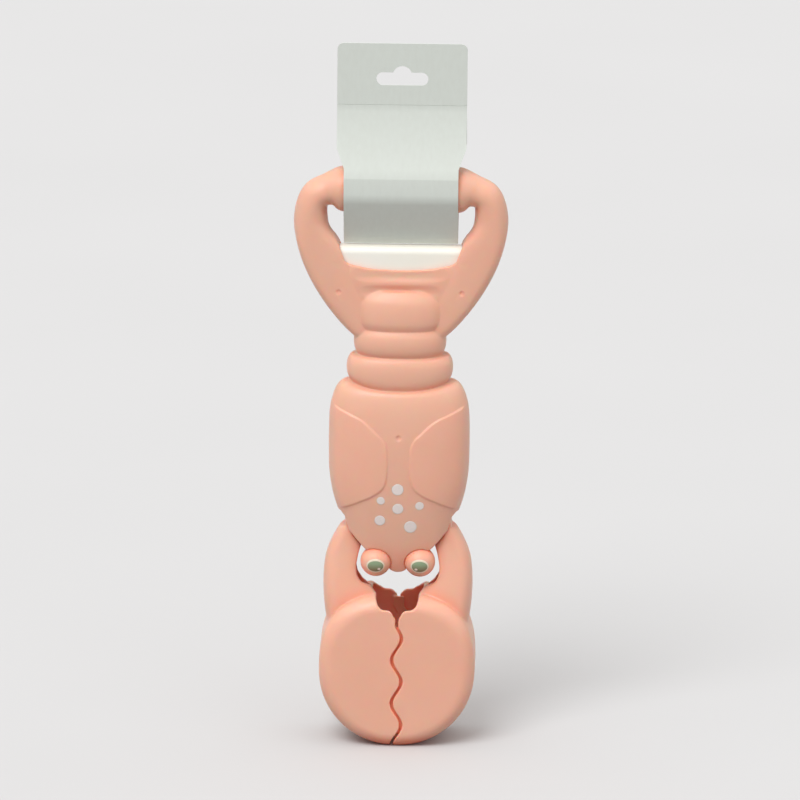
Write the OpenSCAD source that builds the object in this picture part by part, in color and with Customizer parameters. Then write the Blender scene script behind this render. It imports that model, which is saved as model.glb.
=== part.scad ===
// Lobster sand claw: a push-trigger toy with two hollow scoop claws that open and shut.
// +Z is up, the lobster's face looks to -Y, the claws stand on the ground plane.

/* [Claws] */
// Width of the shut pair of claws
claw_w = 97; // [86:1:110]
// Height of the scoops from the ground to their rounded top
claw_h = 97; // [88:1:110]
// Depth of the scoops from front face to back face
claw_d = 54; // [46:1:64]
// Radius of the soft edge round the scoops
claw_edge_r = 9; // [5:0.5:12]
// Wall of the scoops and arms
claw_wall = 2.4; // [1.8:0.1:3]
// Depth of the flat that the claws stand on
foot_cut = 0.5; // [0.3:0.1:1.2]
// Swing of the wavy biting edge to either side
wave_swing = 3; // [1:0.25:4]
// Length of one wave of the biting edge
wave_len = 28; // [22:1:36]
// Gap between the two biting edges when the claws are shut
bite_gap = 1.8; // [1.2:0.1:3]
// Height of the mouth's sill above the ground
mouth_sill = 88; // [82:1:92]
// Width of the mouth between the two claws at its sill
mouth_w = 23; // [18:1:28]

/* [Arms] */
// Rise from the top of the scoops to the shoulder pivots
arm_rise = 44; // [38:1:52]
// Distance between the two shoulder pivots
pivot_span = 52; // [48:1:56]
// Width of an arm seen from the front
arm_w = 20; // [16:1:23]
// Depth of an arm where it leaves the scoop
arm_d = 32; // [26:1:38]
// Depth of an arm at its shoulder
shoulder_d = 21; // [18:1:23]
// Radius of the shoulder knuckle
knuckle_r = 6.8; // [6:0.1:7.2]
// Length of the inner lever from the pivot to its pin
lever_len = 20; // [18:0.5:21]

/* [Carapace] */
// Width of the carapace
carapace_w = 87.4; // [82:0.5:96]
// Depth of the carapace
carapace_d = 48; // [44:1:56]
// Height from the snout to the first tail ring
carapace_h = 124; // [116:1:134]
// Drop from the shoulder pivots to the tip of the snout
snout_drop = 34; // [30:1:38]
// Wall of the two casing halves
shell_wall = 2.4; // [2:0.1:3]
// Height that the two side panels stand proud
panel_step = 0.8; // [0.4:0.1:1.2]
// Diameter of an eyeball
eye_d = 19; // [16:0.5:21]

/* [Tail rings] */
// Height of the ring next to the carapace
ring_2_h = 16.5; // [14:0.5:20]
// Height of the ring above it
ring_1_h = 17.5; // [15:0.5:20]
// Height of the domed ring under the trigger
ring_0_h = 24; // [20:0.5:27]
// Width of the ring next to the carapace
ring_2_w = 66; // [60:1:72]
// Width of the ring above it
ring_1_w = 57.4; // [54:0.5:62]
// Width of the domed ring under the trigger
ring_0_w = 58; // [52:1:62]
// Depth of the ring next to the carapace
ring_d = 39; // [36:1:42]
// Depth of the groove between two rings
groove = 1.4; // [0.8:0.1:1.8]
// Dip of the carapace's top edge at the front and back
ring_dip = 4.4; // [2:0.2:6]

/* [Handle] */
// Width of the tail-fan loop
loop_w = 131.4; // [124:1:140]
// Rise from the root of the loop to the axis of the grip
loop_rise = 88; // [84:1:94]
// Width of a limb of the loop
limb_w = 20; // [18:0.5:22]
// Depth of a limb of the loop
limb_d = 23; // [21:0.5:26]
// Diameter of the barrel grip
grip_d = 29; // [26:0.5:31]

/* [Trigger] */
// Width of the trigger bar
trigger_w = 80; // [76:1:84]
// Height of the trigger bar
trigger_h = 22; // [20:1:24]
// Thickness of the trigger bar
trigger_t = 15; // [13:0.5:15.5]
// Wall of the hollow trigger
trigger_wall = 2.2; // [1.8:0.1:2.6]
// Stroke of the trigger into the handle
stroke = 8; // [6:0.5:9]
// Height of the finger gap between the trigger and the grip
finger_gap = 21; // [18:0.5:23]

/* [Inner pieces] */
// Diameter of the shoulder pivot pins
pivot_d = 4; // [3:0.5:4.5]
// Diameter of the lever pins and cross pins
small_pin_d = 3; // [2:0.5:3.5]
// Diameter of the push rod
rod_d = 8; // [7:0.5:9]
// Thickness of the crosshead strap
strap_t = 4; // [3:0.5:5]
// Outer diameter of the return spring
spring_d = 14; // [12.5:0.5:15]
// Wire of the return spring
wire_d = 1.4; // [1:0.1:1.8]
// Turns of the return spring
spring_turns = 7; // [5:1:8]
// Diameter of the case screws' shanks
screw_d = 2.6; // [2.2:0.1:3]

/* [Hang tag] */
// Width of the tag's header
tag_w = 80; // [72:1:88]
// Width of the tag round the grip
tag_neck_w = 70.6; // [64:1:71]
// Height of the header above the grip's axis
tag_rise = 92; // [84:1:100]
// Thickness of the folded card
card = 0.5; // [0.4:0.1:0.8]
// Width of the hanging slot
slot_w = 32; // [28:1:36]
// Height of the hanging slot
slot_h = 8; // [6:0.5:10]

/* [Hidden] */

// Clearances: a sliding fit, a running fit on pins, and a free gap between moving mouldings
slide_gap = 0.3;
run_gap = 0.05;
free_gap = 0.6;
// One overrun for all cuts
over = 1;

// Heights, from the ground up
claw_top = claw_h - foot_cut;
pivot_x = pivot_span / 2;
pivot_z = claw_top + arm_rise;
snout_z = pivot_z - snout_drop;
carapace_top = snout_z + carapace_h;
ring_2_top = carapace_top + ring_2_h;
ring_1_top = ring_2_top + ring_1_h;
ring_0_top = ring_1_top + ring_0_h;
loop_z = ring_1_top - groove;
grip_z = loop_z + loop_rise;
trigger_top = grip_z - grip_d / 2 - finger_gap;
trigger_z = trigger_top - trigger_h;

// The levers swing evenly to both sides of level, so pin and rod move together
swing = 2 * asin(stroke / 2 / lever_len);
lever_pin_x = pivot_x - lever_len * cos(swing / 2);
lever_pin_z = pivot_z + stroke / 2;
lever_pin_r = small_pin_d / 2;

// Squareness of the ovals: 2 is an ellipse
body_square = 2.5;
web_square = 6;
claw_top_square = 2.6;
claw_foot_square = 2.05;
arm_square = 2.6;

// Counts of steps round and along the skins
body_sides = 36;
lining_sides = 20;
limb_sides = 16;
arm_sides = 16;
claw_sides = 48;
edge_steps = 4;
span_steps = 2;
arm_steps = 11;
wave_steps = 10;

// Colours of the mouldings, the trigger, the card and the metal
pink = "#E5AF95";
cream = "#F5F0E4";
sage = "#CDD2C6";
steel = "#B9BDC0";

function mix(a, b, t) = a + (b - a) * t;
function hold(t) = min(1, max(0, t));
function ease(t) = let (u = hold(t)) u * u * (3 - 2 * u);
function power(v, e) = sign(v) * pow(abs(v), e);
function oval(a, b, square, angle) =
    [a * power(cos(angle), 2 / square), b * power(sin(angle), 2 / square)];

// Point between rows[i] and rows[i + 1] on a smooth curve through all rows
function along(rows, i, t) =
    let (last = len(rows) - 1)
    let (p0 = rows[max(i - 1, 0)], p1 = rows[i])
    let (p2 = rows[min(i + 1, last)], p3 = rows[min(i + 2, last)])
    (2 * p1 + (p2 - p0) * t + (2 * p0 - 5 * p1 + 4 * p2 - p3) * t * t
        + (3 * p1 - p0 - 3 * p2 + p3) * t * t * t) / 2;
function smooth(rows, steps) =
    [for (i = [0 : len(rows) - 2]) for (k = [0 : steps - 1]) along(rows, i, k / steps), rows[len(rows) - 1]];

// Closed skin through rings of equal count, each seen anticlockwise from the way they advance
module skin(rings) {
    n = len(rings[0]);
    m = len(rings);
    sides = [for (j = [0 : m - 2]) for (i = [0 : n - 1])
        let (a = j * n + i, b = j * n + (i + 1) % n)
        each [[a, b + n, b], [a, a + n, b + n]]];
    foot = [for (i = [0 : n - 1]) i];
    head = [for (i = [n - 1 : -1 : 0]) (m - 1) * n + i];
    polyhedron([for (r = rings) each r], concat([foot], sides, [head]), convexity = 10);
}

// One moulded skin, joined from its lofts
module moulding() resize([0, 0, 0]) children();

module along_y(from = 0) translate([0, from, 0]) rotate([-90, 0, 0]) children();

// A pin lying along Y, centred on the parting plane
module cross_pin(r, length) along_y(-length / 2) cylinder(h = length, r = r, $fn = 32);

// Everything on one side of the parting plane; side -1 is the front
reach = 2 * (grip_z + tag_rise);
module half_space(side) {
    translate([-reach / 2, side > 0 ? 0 : -reach, -reach / 2]) cube(reach);
}

// Trunk: carapace and tail rings

// Height, half width and half depth of the carapace from the snout up
carapace_shares = [
    [0.00, 0.60, 0.50], [0.08, 0.68, 0.68], [0.16, 0.75, 0.80], [0.24, 0.80, 0.87], [0.29, 0.833, 0.905],
    [0.33, 0.862, 0.93], [0.39, 0.917, 0.96], [0.45, 0.957, 0.98], [0.54, 0.992, 0.995], [0.64, 1, 1],
    [0.73, 1, 1], [0.83, 0.992, 0.97], [0.89, 0.966, 0.94], [0.945, 0.915, 0.89], [0.978, 0.855, 0.84],
    [0.994, 0.79, 0.79]];
// Height and fullness of a tail ring between its two grooves
ring_shares = [[0.03, 0], [0.1, 0.4], [0.27, 0.84], [0.5, 1], [0.73, 0.84], [0.9, 0.4], [0.97, 0]];
ring_swell = 2 * groove;
// Height, half width and half depth of the domed ring
dome_shares = [[0.03, 0.90, 0.86], [0.18, 0.97, 0.91], [0.45, 1, 0.90], [0.7, 0.99, 0.84],
    [0.87, 0.93, 0.74], [1, 0.78, 0.62]];

function dip(z) = z > carapace_top
    ? ring_dip * (1 - ease((z - carapace_top) / ring_2_h))
    : ring_dip * (1 - ease((carapace_top - z) / (carapace_h / 4)));
function carapace_rows() = [for (s = carapace_shares)
    [snout_z + s[0] * carapace_h, s[1] * carapace_w / 2, s[2] * carapace_d / 2]];
function ring_rows(z, h, w, d) = [for (s = ring_shares)
    [z + s[0] * h, w / 2 - ring_swell * (1 - s[1]), d / 2 - ring_swell * (1 - s[1])]];
function dome_rows() = [for (s = dome_shares)
    [ring_1_top + s[0] * ring_0_h, s[1] * ring_0_w / 2, s[2] * ring_d / 2]];
ring_1_d = ring_d - groove;
trunk_rows = concat(carapace_rows(), ring_rows(carapace_top, ring_2_h, ring_2_w, ring_d),
    ring_rows(ring_2_top, ring_1_h, ring_1_w, ring_1_d), dome_rows());

function trunk_ring(row, inset, sides) = [for (i = [0 : sides - 1])
    let (a = 360 * i / sides, p = oval(row[1] - inset, row[2] - inset, body_square, a))
    [p[0], p[1], row[0] - dip(row[0]) * pow(sin(a), 2)]];
module trunk(inset = 0, sides = body_sides) skin([for (r = trunk_rows) trunk_ring(r, inset, sides)]);

// The hollow of the trunk starts above the solid snout
snout_solid = snout_drop / 2;
module trunk_lining() {
    rows = [for (r = trunk_rows) if (r[0] > snout_z + snout_solid && r[0] < ring_0_top - shell_wall) r];
    skin([for (r = rows) trunk_ring(r, shell_wall, lining_sides)]);
}

// Apron: the carapace ends in a V that leaves the arms free to swing
apron_rise = 1.5;
snout_w = 9;
snout_lift = 2.4;
// Round of the snout's tip, as shares of its width and lift
snout_tip_shares = [[0.5, 1.5], [0.25, 1.125]];
apron_shares = [[0.82, 1], [0.5, 0.555], [0.26, 0.27]];
module apron_cut() {
    top = pivot_z + apron_rise - snout_z;
    edge = [for (s = apron_shares) [s[0] * carapace_w / 2, snout_z + s[1] * top]];
    tip = concat([for (s = snout_tip_shares) [s[0] * snout_w, snout_z + s[1] * snout_lift]],
        [[-over, snout_z + snout_lift], [-over, snout_z - over]]);
    outer = concat([[carapace_w, edge[0][1]]], edge, tip);
    for (side = [1, -1])
        along_y(-carapace_d) mirror([0, 1, 0]) linear_extrude(2 * carapace_d)
            polygon([for (p = concat(outer, [[carapace_w, snout_z - over]])) [side * p[0], p[1]]]);
}

// Side panels: their inner edge, as shares of the carapace's half width and height
panel_shares = [[0.925, 0.885], [0.70, 0.852], [0.5, 0.82], [0.31, 0.76], [0.21, 0.722], [0.165, 0.665],
    [0.165, 0.548], [0.205, 0.487], [0.33, 0.443], [0.55, 0.402], [0.78, 0.36]];
module side_panels() {
    inner = [for (s = panel_shares) [s[0] * carapace_w / 2, snout_z + s[1] * carapace_h]];
    foot = inner[len(inner) - 1][1];
    outline = concat(inner, [[carapace_w, foot], [carapace_w, inner[0][1]]]);
    intersection() {
        trunk(-panel_step);
        for (side = [1, -1])
            along_y(-carapace_d) mirror([0, 1, 0]) linear_extrude(carapace_d)
                polygon([for (p = outline) [side * p[0], p[1]]]);
    }
}

// Tail-fan loop: centre line as shares of the half width and rise, the swell towards the grip, and
// the limb's extra width on its inner side
loop_shares = [[0.20, -0.04, 0, 0], [0.41, 0.09, 0, 0], [0.615, 0.283, 0, 0.18], [0.764, 0.489, 0, 0.16],
    [0.842, 0.682, 0, 0.11], [0.853, 0.818, 0, 0.06], [0.80, 0.94, 0, 0], [0.69, 0.988, 0.08, 0],
    [0.55, 1, 0.93, 0], [0.27, 1, 1, 0], [0, 1, 1, 0]];
function loop_half(inset) = [for (s = loop_shares)
    let (w = mix(limb_w, grip_d, s[2]) / 2 - inset, d = mix(limb_d, grip_d, s[2]) / 2 - inset)
    [s[0] * loop_w / 2, loop_z + s[1] * loop_rise, w, d, w + s[3] * limb_w]];
function mirrored(rows) = [for (i = [len(rows) - 2 : -1 : 0])
    let (r = rows[i]) [-r[0], r[1], r[2], r[3], r[4]]];

// Rings across a path in the XZ plane; rows are x, z, outer half width, half depth, inner half width
function path_rings(rows, square, sides) = [for (j = [0 : len(rows) - 1])
    let (r = rows[j], before = rows[max(j - 1, 0)], after = rows[min(j + 1, len(rows) - 1)])
    let (run = [after[0] - before[0], after[1] - before[1]], t = run / norm(run))
    [for (i = [0 : sides - 1])
        let (a = 360 * i / sides, wide = cos(a) > 0 || len(r) < 5 ? r[2] : r[4])
        let (p = oval(wide, r[3], square, a))
        [r[0] + t[1] * p[0], p[1], r[1] - t[0] * p[0]]]];
module loop(inset = 0, sides = limb_sides) {
    half = smooth(loop_half(inset), span_steps);
    skin(path_rings(concat(half, mirrored(half)), 2, sides));
}

// Web between the limbs: height share, half width share and half depth share
web_shares = [[-0.04, 0.42, 0.97], [0.15, 0.47, 0.97], [0.29, 0.53, 0.97], [0.40, 0.60, 0.97],
    [0.50, 0.655, 0.97], [0.60, 0.70, 0.97]];
function web_rows() = [for (s = web_shares)
    [loop_z + s[0] * loop_rise, s[1] * loop_w / 2, s[2] * limb_d / 2]];
// Opening that shows the trigger, as shares of the trigger's half width and height
web_open_shares = [[0.4, 0.30], [0.65, 0.364], [0.815, 0.427], [1.025, 0.95], [1.12, 1.65]];
web_open_low_share = 0.26;
function web_opening(side) = [for (s = web_open_shares)
    [side * s[0] * trigger_w / 2, trigger_z + s[1] * trigger_h]];
function backwards(v) = [for (i = [len(v) - 1 : -1 : 0]) v[i]];
// Cove under the opening and the lip below it: height, half width and half depth
cove_shares = [[-0.44, 0.60, 0.99], [-0.30, 0.625, 0.865], [-0.19, 0.625, 0.855], [-0.11, 0.625, 0.89],
    [-0.05, 0.63, 0.935], [0.03, 0.65, 0.935], [0.10, 0.68, 0.90], [0.18, 0.715, 0.85],
    [0.34, 0.79, 0.835], [0.56, 0.90, 0.835]];
module cove() {
    skin([for (s = cove_shares)
        let (z = trigger_z + s[0] * trigger_h, w = s[1] * trigger_w / 2, d = s[2] * limb_d / 2)
        [[-w, -limb_d, z], [w, -limb_d, z], [w, -d, z], [-w, -d, z]]]);
}
module web() {
    difference() {
        skin([for (r = web_rows()) [for (i = [0 : lining_sides - 1])
            let (p = oval(r[1], r[2], web_square, 360 * i / lining_sides)) [p[0], p[1], r[0]]]]);
        along_y(-limb_d) mirror([0, 1, 0]) linear_extrude(2 * limb_d) polygon(concat(
            backwards(web_opening(-1)), [[0, trigger_z + web_open_low_share * trigger_h]], web_opening(1)));
        cove();
        mirror([0, 1, 0]) cove();
    }
}

// Slot that the trigger slides in, reaching into both limbs
slot_d = trigger_t + 2 * free_gap;
slot_side = trigger_w / 2 + free_gap;
slot_foot_share = 0.66;
module trigger_slot() {
    foot = trigger_z - stroke - over;
    narrow = slot_foot_share * slot_side + free_gap;
    along_y(-slot_d / 2) mirror([0, 1, 0]) linear_extrude(slot_d)
        polygon([[-narrow, foot], [narrow, foot], [slot_side, trigger_z + trigger_h / 2 - stroke],
            [slot_side, trigger_top + free_gap], [-slot_side, trigger_top + free_gap],
            [-slot_side, trigger_z + trigger_h / 2 - stroke]]);
}

// Casing fixings: screws through posts behind the limbs, the carapace, the snout and the grip
post_r = 3.6;
head_r = 2.6;
head_h = 2;
head_seat = 4;
screw_reach = 7;
back_post_r = head_r + slide_gap + shell_wall / 2;
limb_screw_shares = [0.58, 0.283];
grip_screw_share = 0.57;
carapace_screw_share = 0.73;
limb_screw_x = limb_screw_shares[0] * loop_w / 2;
limb_screw_z = loop_z + limb_screw_shares[1] * loop_rise;
screw_places = [
    [limb_screw_x, limb_screw_z],
    [-limb_screw_x, limb_screw_z],
    [0, snout_z + carapace_screw_share * carapace_h],
    [0, snout_z + snout_solid],
    [grip_screw_share * tag_neck_w / 2, grip_z],
    [-grip_screw_share * tag_neck_w / 2, grip_z]];
module at_screws() for (p = screw_places) translate([p[0], 0, p[1]]) children();

// Shoulder bosses carry the pivot pins
boss_r = pivot_d / 2 + shell_wall;
boss_face = shoulder_d / 2 + slide_gap;
socket_depth = 3.4;
pin_half = boss_face + socket_depth;
module at_pivots() for (side = [1, -1]) translate([side * pivot_x, 0, pivot_z]) children();

// Window in each side of the casing for the swinging shoulder of an arm
window_bevel = 3;
module arm_windows() {
    foot = pivot_z - arm_w;
    top = pivot_z + knuckle_r + free_gap;
    half = boss_face + free_gap;
    inner = half - window_bevel;
    corner = top - window_bevel;
    for (side = [1, -1])
        translate([side > 0 ? pivot_x : -carapace_w, 0, 0]) rotate([90, 0, 90])
            linear_extrude(carapace_w - pivot_x)
                polygon([[-half, foot], [half, foot], [half, corner], [inner, top], [-inner, top],
                    [-half, corner]]);
}

// Ribs that trap the rod guide inside the ring next to the carapace
guide_r = 13;
guide_h = 5;
guide_z = carapace_top + ring_2_h / 2;
rib_t = 1.6;
rib_bore = spring_d / 2 + shell_wall;
module guide_ribs() {
    for (z = [guide_z - guide_h / 2 - slide_gap - rib_t, guide_z + guide_h / 2 + slide_gap])
        difference() {
            intersection() {
                trunk_lining_core();
                translate([-reach / 2, -reach / 2, z]) cube([reach, reach, rib_t]);
            }
            translate([0, 0, z - over]) cylinder(h = rib_t + 2 * over, r = rib_bore, $fn = 20);
        }
}
module trunk_lining_core() {
    rows = [for (r = trunk_rows) if (r[0] > carapace_top - ring_2_h && r[0] < ring_1_top) r];
    skin([for (r = rows) trunk_ring(r, shell_wall / 2, lining_sides)]);
}

// Eyes sit in cups beside the snout
eye_x = 13.7;
eye_y = -11.5;
eye_lift = 0.4;
eye_z = snout_z + eye_d / 2 + eye_lift;
peg_r = 2;
peg_end = 2.6;
module at_eyes() for (side = [1, -1]) translate([side * eye_x, eye_y, eye_z]) children();

module shell_solid() {
    trunk();
    loop();
    web();
}

// One half of the casing as it leaves the mould, before its round holes are bored
module shell_half(side) {
    moulding() difference() {
        union() {
            intersection() {
                difference() {
                    union() {
                        shell_solid();
                        if (side < 0) side_panels();
                    }
                    trunk_lining();
                    loop(shell_wall, lining_sides / 2);
                    trigger_slot();
                    arm_windows();
                }
                half_space(side);
            }
            intersection() {
                shell_solid();
                half_space(side);
                union() {
                    at_screws() along_y() mirror([0, 0, side < 0 ? 1 : 0])
                        cylinder(h = carapace_d, r = side < 0 ? post_r : back_post_r, $fn = 16);
                    at_pivots() along_y() mirror([0, 0, side < 0 ? 1 : 0])
                        translate([0, 0, boss_face]) cylinder(h = carapace_d, r = boss_r, $fn = 16);
                    guide_ribs();
                }
            }
        }
        apron_cut();
    }
}

module pivot_sockets() at_pivots() cross_pin(pivot_d / 2 + run_gap / 2, 2 * pin_half);

// Front half of the casing, with blind pilot holes and the eyes' peg holes
module front_shell() {
    color(pink) difference() {
        shell_half(-1);
        at_eyes() sphere(r = eye_d / 2 + run_gap, $fn = 48);
        at_screws() along_y(-screw_reach - slide_gap)
            cylinder(h = screw_reach + over, r = screw_d / 2 + run_gap / 2, $fn = 24);
        pivot_sockets();
        for (side = [1, -1])
            translate([side * (peg_end - slide_gap), eye_y, eye_z]) rotate([0, side * 90, 0])
                cylinder(h = eye_x, r = peg_r + run_gap / 2, $fn = 24);
    }
}

// Back half of the casing, with stepped screw holes
module back_shell() {
    color(pink) difference() {
        shell_half(1);
        at_screws() along_y(-over) cylinder(h = head_seat + 2 * over, r = screw_d / 2 + slide_gap, $fn = 24);
        at_screws() along_y(head_seat) cylinder(h = carapace_d, r = head_r + slide_gap, $fn = 24);
        pivot_sockets();
    }
}

// Pan-head screws from the back, one node
module case_screws() {
    color(steel) at_screws() {
        along_y(-screw_reach) cylinder(h = screw_reach + head_seat + over, r = screw_d / 2, $fn = 24);
        along_y(head_seat) cylinder(h = head_h, r = head_r, $fn = 24);
    }
}

// Ball eye with the peg that holds it in the snout
module eye(side) {
    color(pink) {
        translate([side * eye_x, eye_y, eye_z]) sphere(r = eye_d / 2, $fn = 48);
        translate([side * peg_end, eye_y, eye_z]) rotate([0, side * 90, 0])
            cylinder(h = eye_x - peg_end, r = peg_r, $fn = 24);
    }
}
module left_eye() eye(-1);
module right_eye() eye(1);

// Steel pins in the shoulder bosses
module pivot_pin(side) color(steel) translate([side * pivot_x, 0, pivot_z])
    cross_pin(pivot_d / 2, 2 * pin_half - slide_gap);
module left_pivot_pin() pivot_pin(-1);
module right_pivot_pin() pivot_pin(1);

// Bush that guides the push rod; its hub is the spring's lower seat
hub_r = spring_d / 2 + wire_d / 2;
hub_h = rib_t + 2 * slide_gap;
spring_seat = guide_z + guide_h / 2 + hub_h;
module rod_guide() {
    color(cream) difference() {
        union() {
            translate([0, 0, guide_z - guide_h / 2]) cylinder(h = guide_h, r = guide_r, $fn = 48);
            translate([0, 0, guide_z]) cylinder(h = spring_seat - guide_z, r = hub_r, $fn = 48);
        }
        translate([0, 0, guide_z - guide_h]) cylinder(h = 3 * guide_h, r = rod_d / 2 + run_gap, $fn = 48);
    }
}

// Return spring between the guide's hub and the collar under the trigger
collar_h = 3;
trigger_boss_drop = 11;
collar_z = trigger_z - collar_h - trigger_boss_drop;
spring_h = collar_z - spring_seat;
coil_sides = 6;
coil_steps = 8;
function coil_ring(turn) =
    let (a = 360 * turn, r = (spring_d - wire_d) / 2)
    let (z = spring_seat + wire_d / 2 + (spring_h - wire_d) * turn / spring_turns)
    [for (i = [0 : coil_sides - 1])
        let (b = 360 * i / coil_sides)
        [(r + wire_d / 2 * cos(b)) * cos(a), (r + wire_d / 2 * cos(b)) * sin(a), z - wire_d / 2 * sin(b)]];
module return_spring() {
    color(steel) skin([for (k = [0 : spring_turns * coil_steps]) coil_ring(k / coil_steps)]);
}

// Trigger bar: a hollow moulding, open below, with a boss for the push rod
trigger_boss_r = rod_d / 2 + trigger_wall;
trigger_edge_r = 4;
rod_top = trigger_top - 2 * trigger_wall;
trigger_foot_share = 0.7;
module trigger_outline(inset) {
    side = trigger_w / 2 - inset;
    foot = trigger_foot_share * trigger_w / 2 - inset;
    polygon([[-foot, trigger_z], [foot, trigger_z], [side, trigger_z + trigger_h * 2 / 3],
        [side, trigger_top - trigger_edge_r], [side - trigger_edge_r, trigger_top - inset],
        [trigger_edge_r - side, trigger_top - inset], [-side, trigger_top - trigger_edge_r],
        [-side, trigger_z + trigger_h * 2 / 3]]);
}
// Rounded bar across the handle, from foot to top
module trigger_section(inset) {
    t = trigger_t / 2 - inset;
    r = trigger_edge_r - inset;
    translate([-t, trigger_z - over]) square([2 * t, trigger_h + over - inset - r]);
    translate([r - t, trigger_z - over]) square([2 * (t - r), trigger_h + over - inset]);
    for (y = [-1, 1]) translate([y * (t - r), trigger_top - inset - r]) circle(r, $fn = 32);
}
module trigger_form(inset) {
    intersection() {
        along_y(-trigger_t) mirror([0, 1, 0]) linear_extrude(2 * trigger_t) trigger_outline(inset);
        translate([-trigger_w, 0, 0]) rotate([90, 0, 90])
            linear_extrude(2 * trigger_w) trigger_section(inset);
    }
}
module trigger() {
    boss_z = trigger_z - trigger_boss_drop;
    color(cream) difference() {
        union() {
            difference() {
                trigger_form(0);
                translate([0, 0, -over]) trigger_form(trigger_wall);
                trigger_form(trigger_wall);
            }
            translate([0, 0, boss_z])
                cylinder(h = trigger_top - trigger_wall - boss_z, r = trigger_boss_r, $fn = 48);
        }
        translate([0, 0, boss_z - over])
            cylinder(h = rod_top - boss_z + over, r = rod_d / 2 + run_gap / 2, $fn = 48);
        translate([0, 0, trigger_pin_z]) cross_pin(small_pin_d / 2 + run_gap / 2, trigger_t);
    }
}
trigger_pin_z = trigger_z - trigger_boss_drop / 2;
module trigger_pin() color(steel) translate([0, 0, trigger_pin_z])
    cross_pin(small_pin_d / 2, 2 * trigger_boss_r);

// Push rod: forked at its foot round the crosshead's tongue
tongue_h = 10;
tongue_z = guide_z - guide_h / 2 - rib_t - stroke - tongue_h;
rod_pin_z = tongue_z + tongue_h / 2;
module push_rod() {
    color(cream) difference() {
        translate([0, 0, tongue_z]) cylinder(h = rod_top - tongue_z - slide_gap, r = rod_d / 2, $fn = 48);
        translate([-rod_d, -strap_t / 2 - run_gap, tongue_z - over])
            cube([2 * rod_d, strap_t + 2 * run_gap, tongue_h + over + slide_gap]);
        translate([0, 0, rod_pin_z]) cross_pin(small_pin_d / 2 + run_gap / 2, 2 * rod_d);
        translate([0, 0, trigger_pin_z]) cross_pin(small_pin_d / 2 + run_gap / 2, 2 * rod_d);
    }
}
module rod_pin() color(steel) translate([0, 0, rod_pin_z]) cross_pin(small_pin_d / 2, rod_d);

// Collar that the spring pushes against, under the trigger's boss
module spring_collar() {
    color(steel) translate([0, 0, collar_z]) difference() {
        cylinder(h = collar_h, r = hub_r, $fn = 48);
        translate([0, 0, -over]) cylinder(h = collar_h + 2 * over, r = rod_d / 2 + run_gap / 2, $fn = 48);
    }
}

// Crosshead: a strap with a guide slot round the carapace post and two cross slots for the lever pins
strap_w = 17;
head_w = 2 * (lever_pin_x + lever_pin_r + 2 * shell_wall);
head_z = lever_pin_z - lever_pin_r - 2 * shell_wall;
head_top = lever_pin_z + lever_pin_r + 2 * shell_wall;
pin_wander = lever_len * (1 - cos(swing / 2));
guide_slot_r = back_post_r + slide_gap;
post_z = screw_places[2][1];
// Straight sides of the slots, just inside their round ends
slot_half = lever_pin_r + run_gap / 2;
guide_slot_half = guide_slot_r - run_gap;
module crosshead_outline() {
    w = head_w / 2;
    strap = strap_w / 2;
    tongue = rod_d / 2;
    foot = tongue_z - slide_gap;
    top = tongue_z + tongue_h;
    polygon([[-w, head_z], [w, head_z], [w, head_top], [strap, head_top], [strap, foot], [tongue, foot],
        [tongue, top], [-tongue, top], [-tongue, foot], [-strap, foot], [-strap, head_top], [-w, head_top]]);
}
module crosshead() {
    color(cream) difference() {
        along_y(-strap_t / 2) mirror([0, 1, 0]) linear_extrude(strap_t) crosshead_outline();
        for (side = [1, -1]) {
            for (x = [-1, 1]) translate([side * lever_pin_x + x * pin_wander, 0, lever_pin_z])
                cross_pin(lever_pin_r + run_gap, 2 * strap_t);
            translate([side * lever_pin_x - pin_wander, -strap_t, lever_pin_z - slot_half])
                cube([2 * pin_wander, 2 * strap_t, 2 * slot_half]);
        }
        translate([-guide_slot_half, -strap_t, post_z]) cube([2 * guide_slot_half, 2 * strap_t, stroke]);
        for (z = [post_z, post_z + stroke]) translate([0, 0, z]) cross_pin(guide_slot_r, 2 * strap_t);
        translate([0, 0, rod_pin_z]) cross_pin(small_pin_d / 2 + run_gap / 2, 2 * rod_d);
    }
}

// Claws: a scoop, an arm and a knuckle with its inner lever
claw_mid = claw_h / 2 - foot_cut;
function claw_outline(inset) = [for (i = [0 : claw_sides - 1])
    let (a = 360 * i / claw_sides, square = sin(a) > 0 ? claw_top_square : claw_foot_square)
    let (p = oval(claw_w / 2 - inset, claw_h / 2 - inset, square, a))
    [p[0], claw_mid + p[1]]];
module scoop(inset = 0) {
    half = claw_d / 2 - inset;
    edge = claw_edge_r - inset;
    front = [for (k = [0 : edge_steps]) let (a = 90 * k / edge_steps)
        [edge * (1 - cos(a)) - half, edge * (1 - sin(a))]];
    stations = concat(front, [for (k = [edge_steps : -1 : 0]) [-front[k][0], front[k][1]]]);
    skin([for (s = stations) let (o = claw_outline(inset + s[1])) [for (i = [claw_sides - 1 : -1 : 0])
        [o[i][0], s[0], o[i][1]]]]);
}

// Arm: centre line bowed from the scoop to the pivot
arm_root_shares = [0.665, 0.70];
arm_bow_shares = [0.89, 0.39];
arm_taper_share = 0.66;
// Where along the arm its width and its depth begin to taper, and over what share of it
arm_width_shares = [0.55, 0.45];
arm_depth_shares = [0.2, 0.65];
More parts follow.
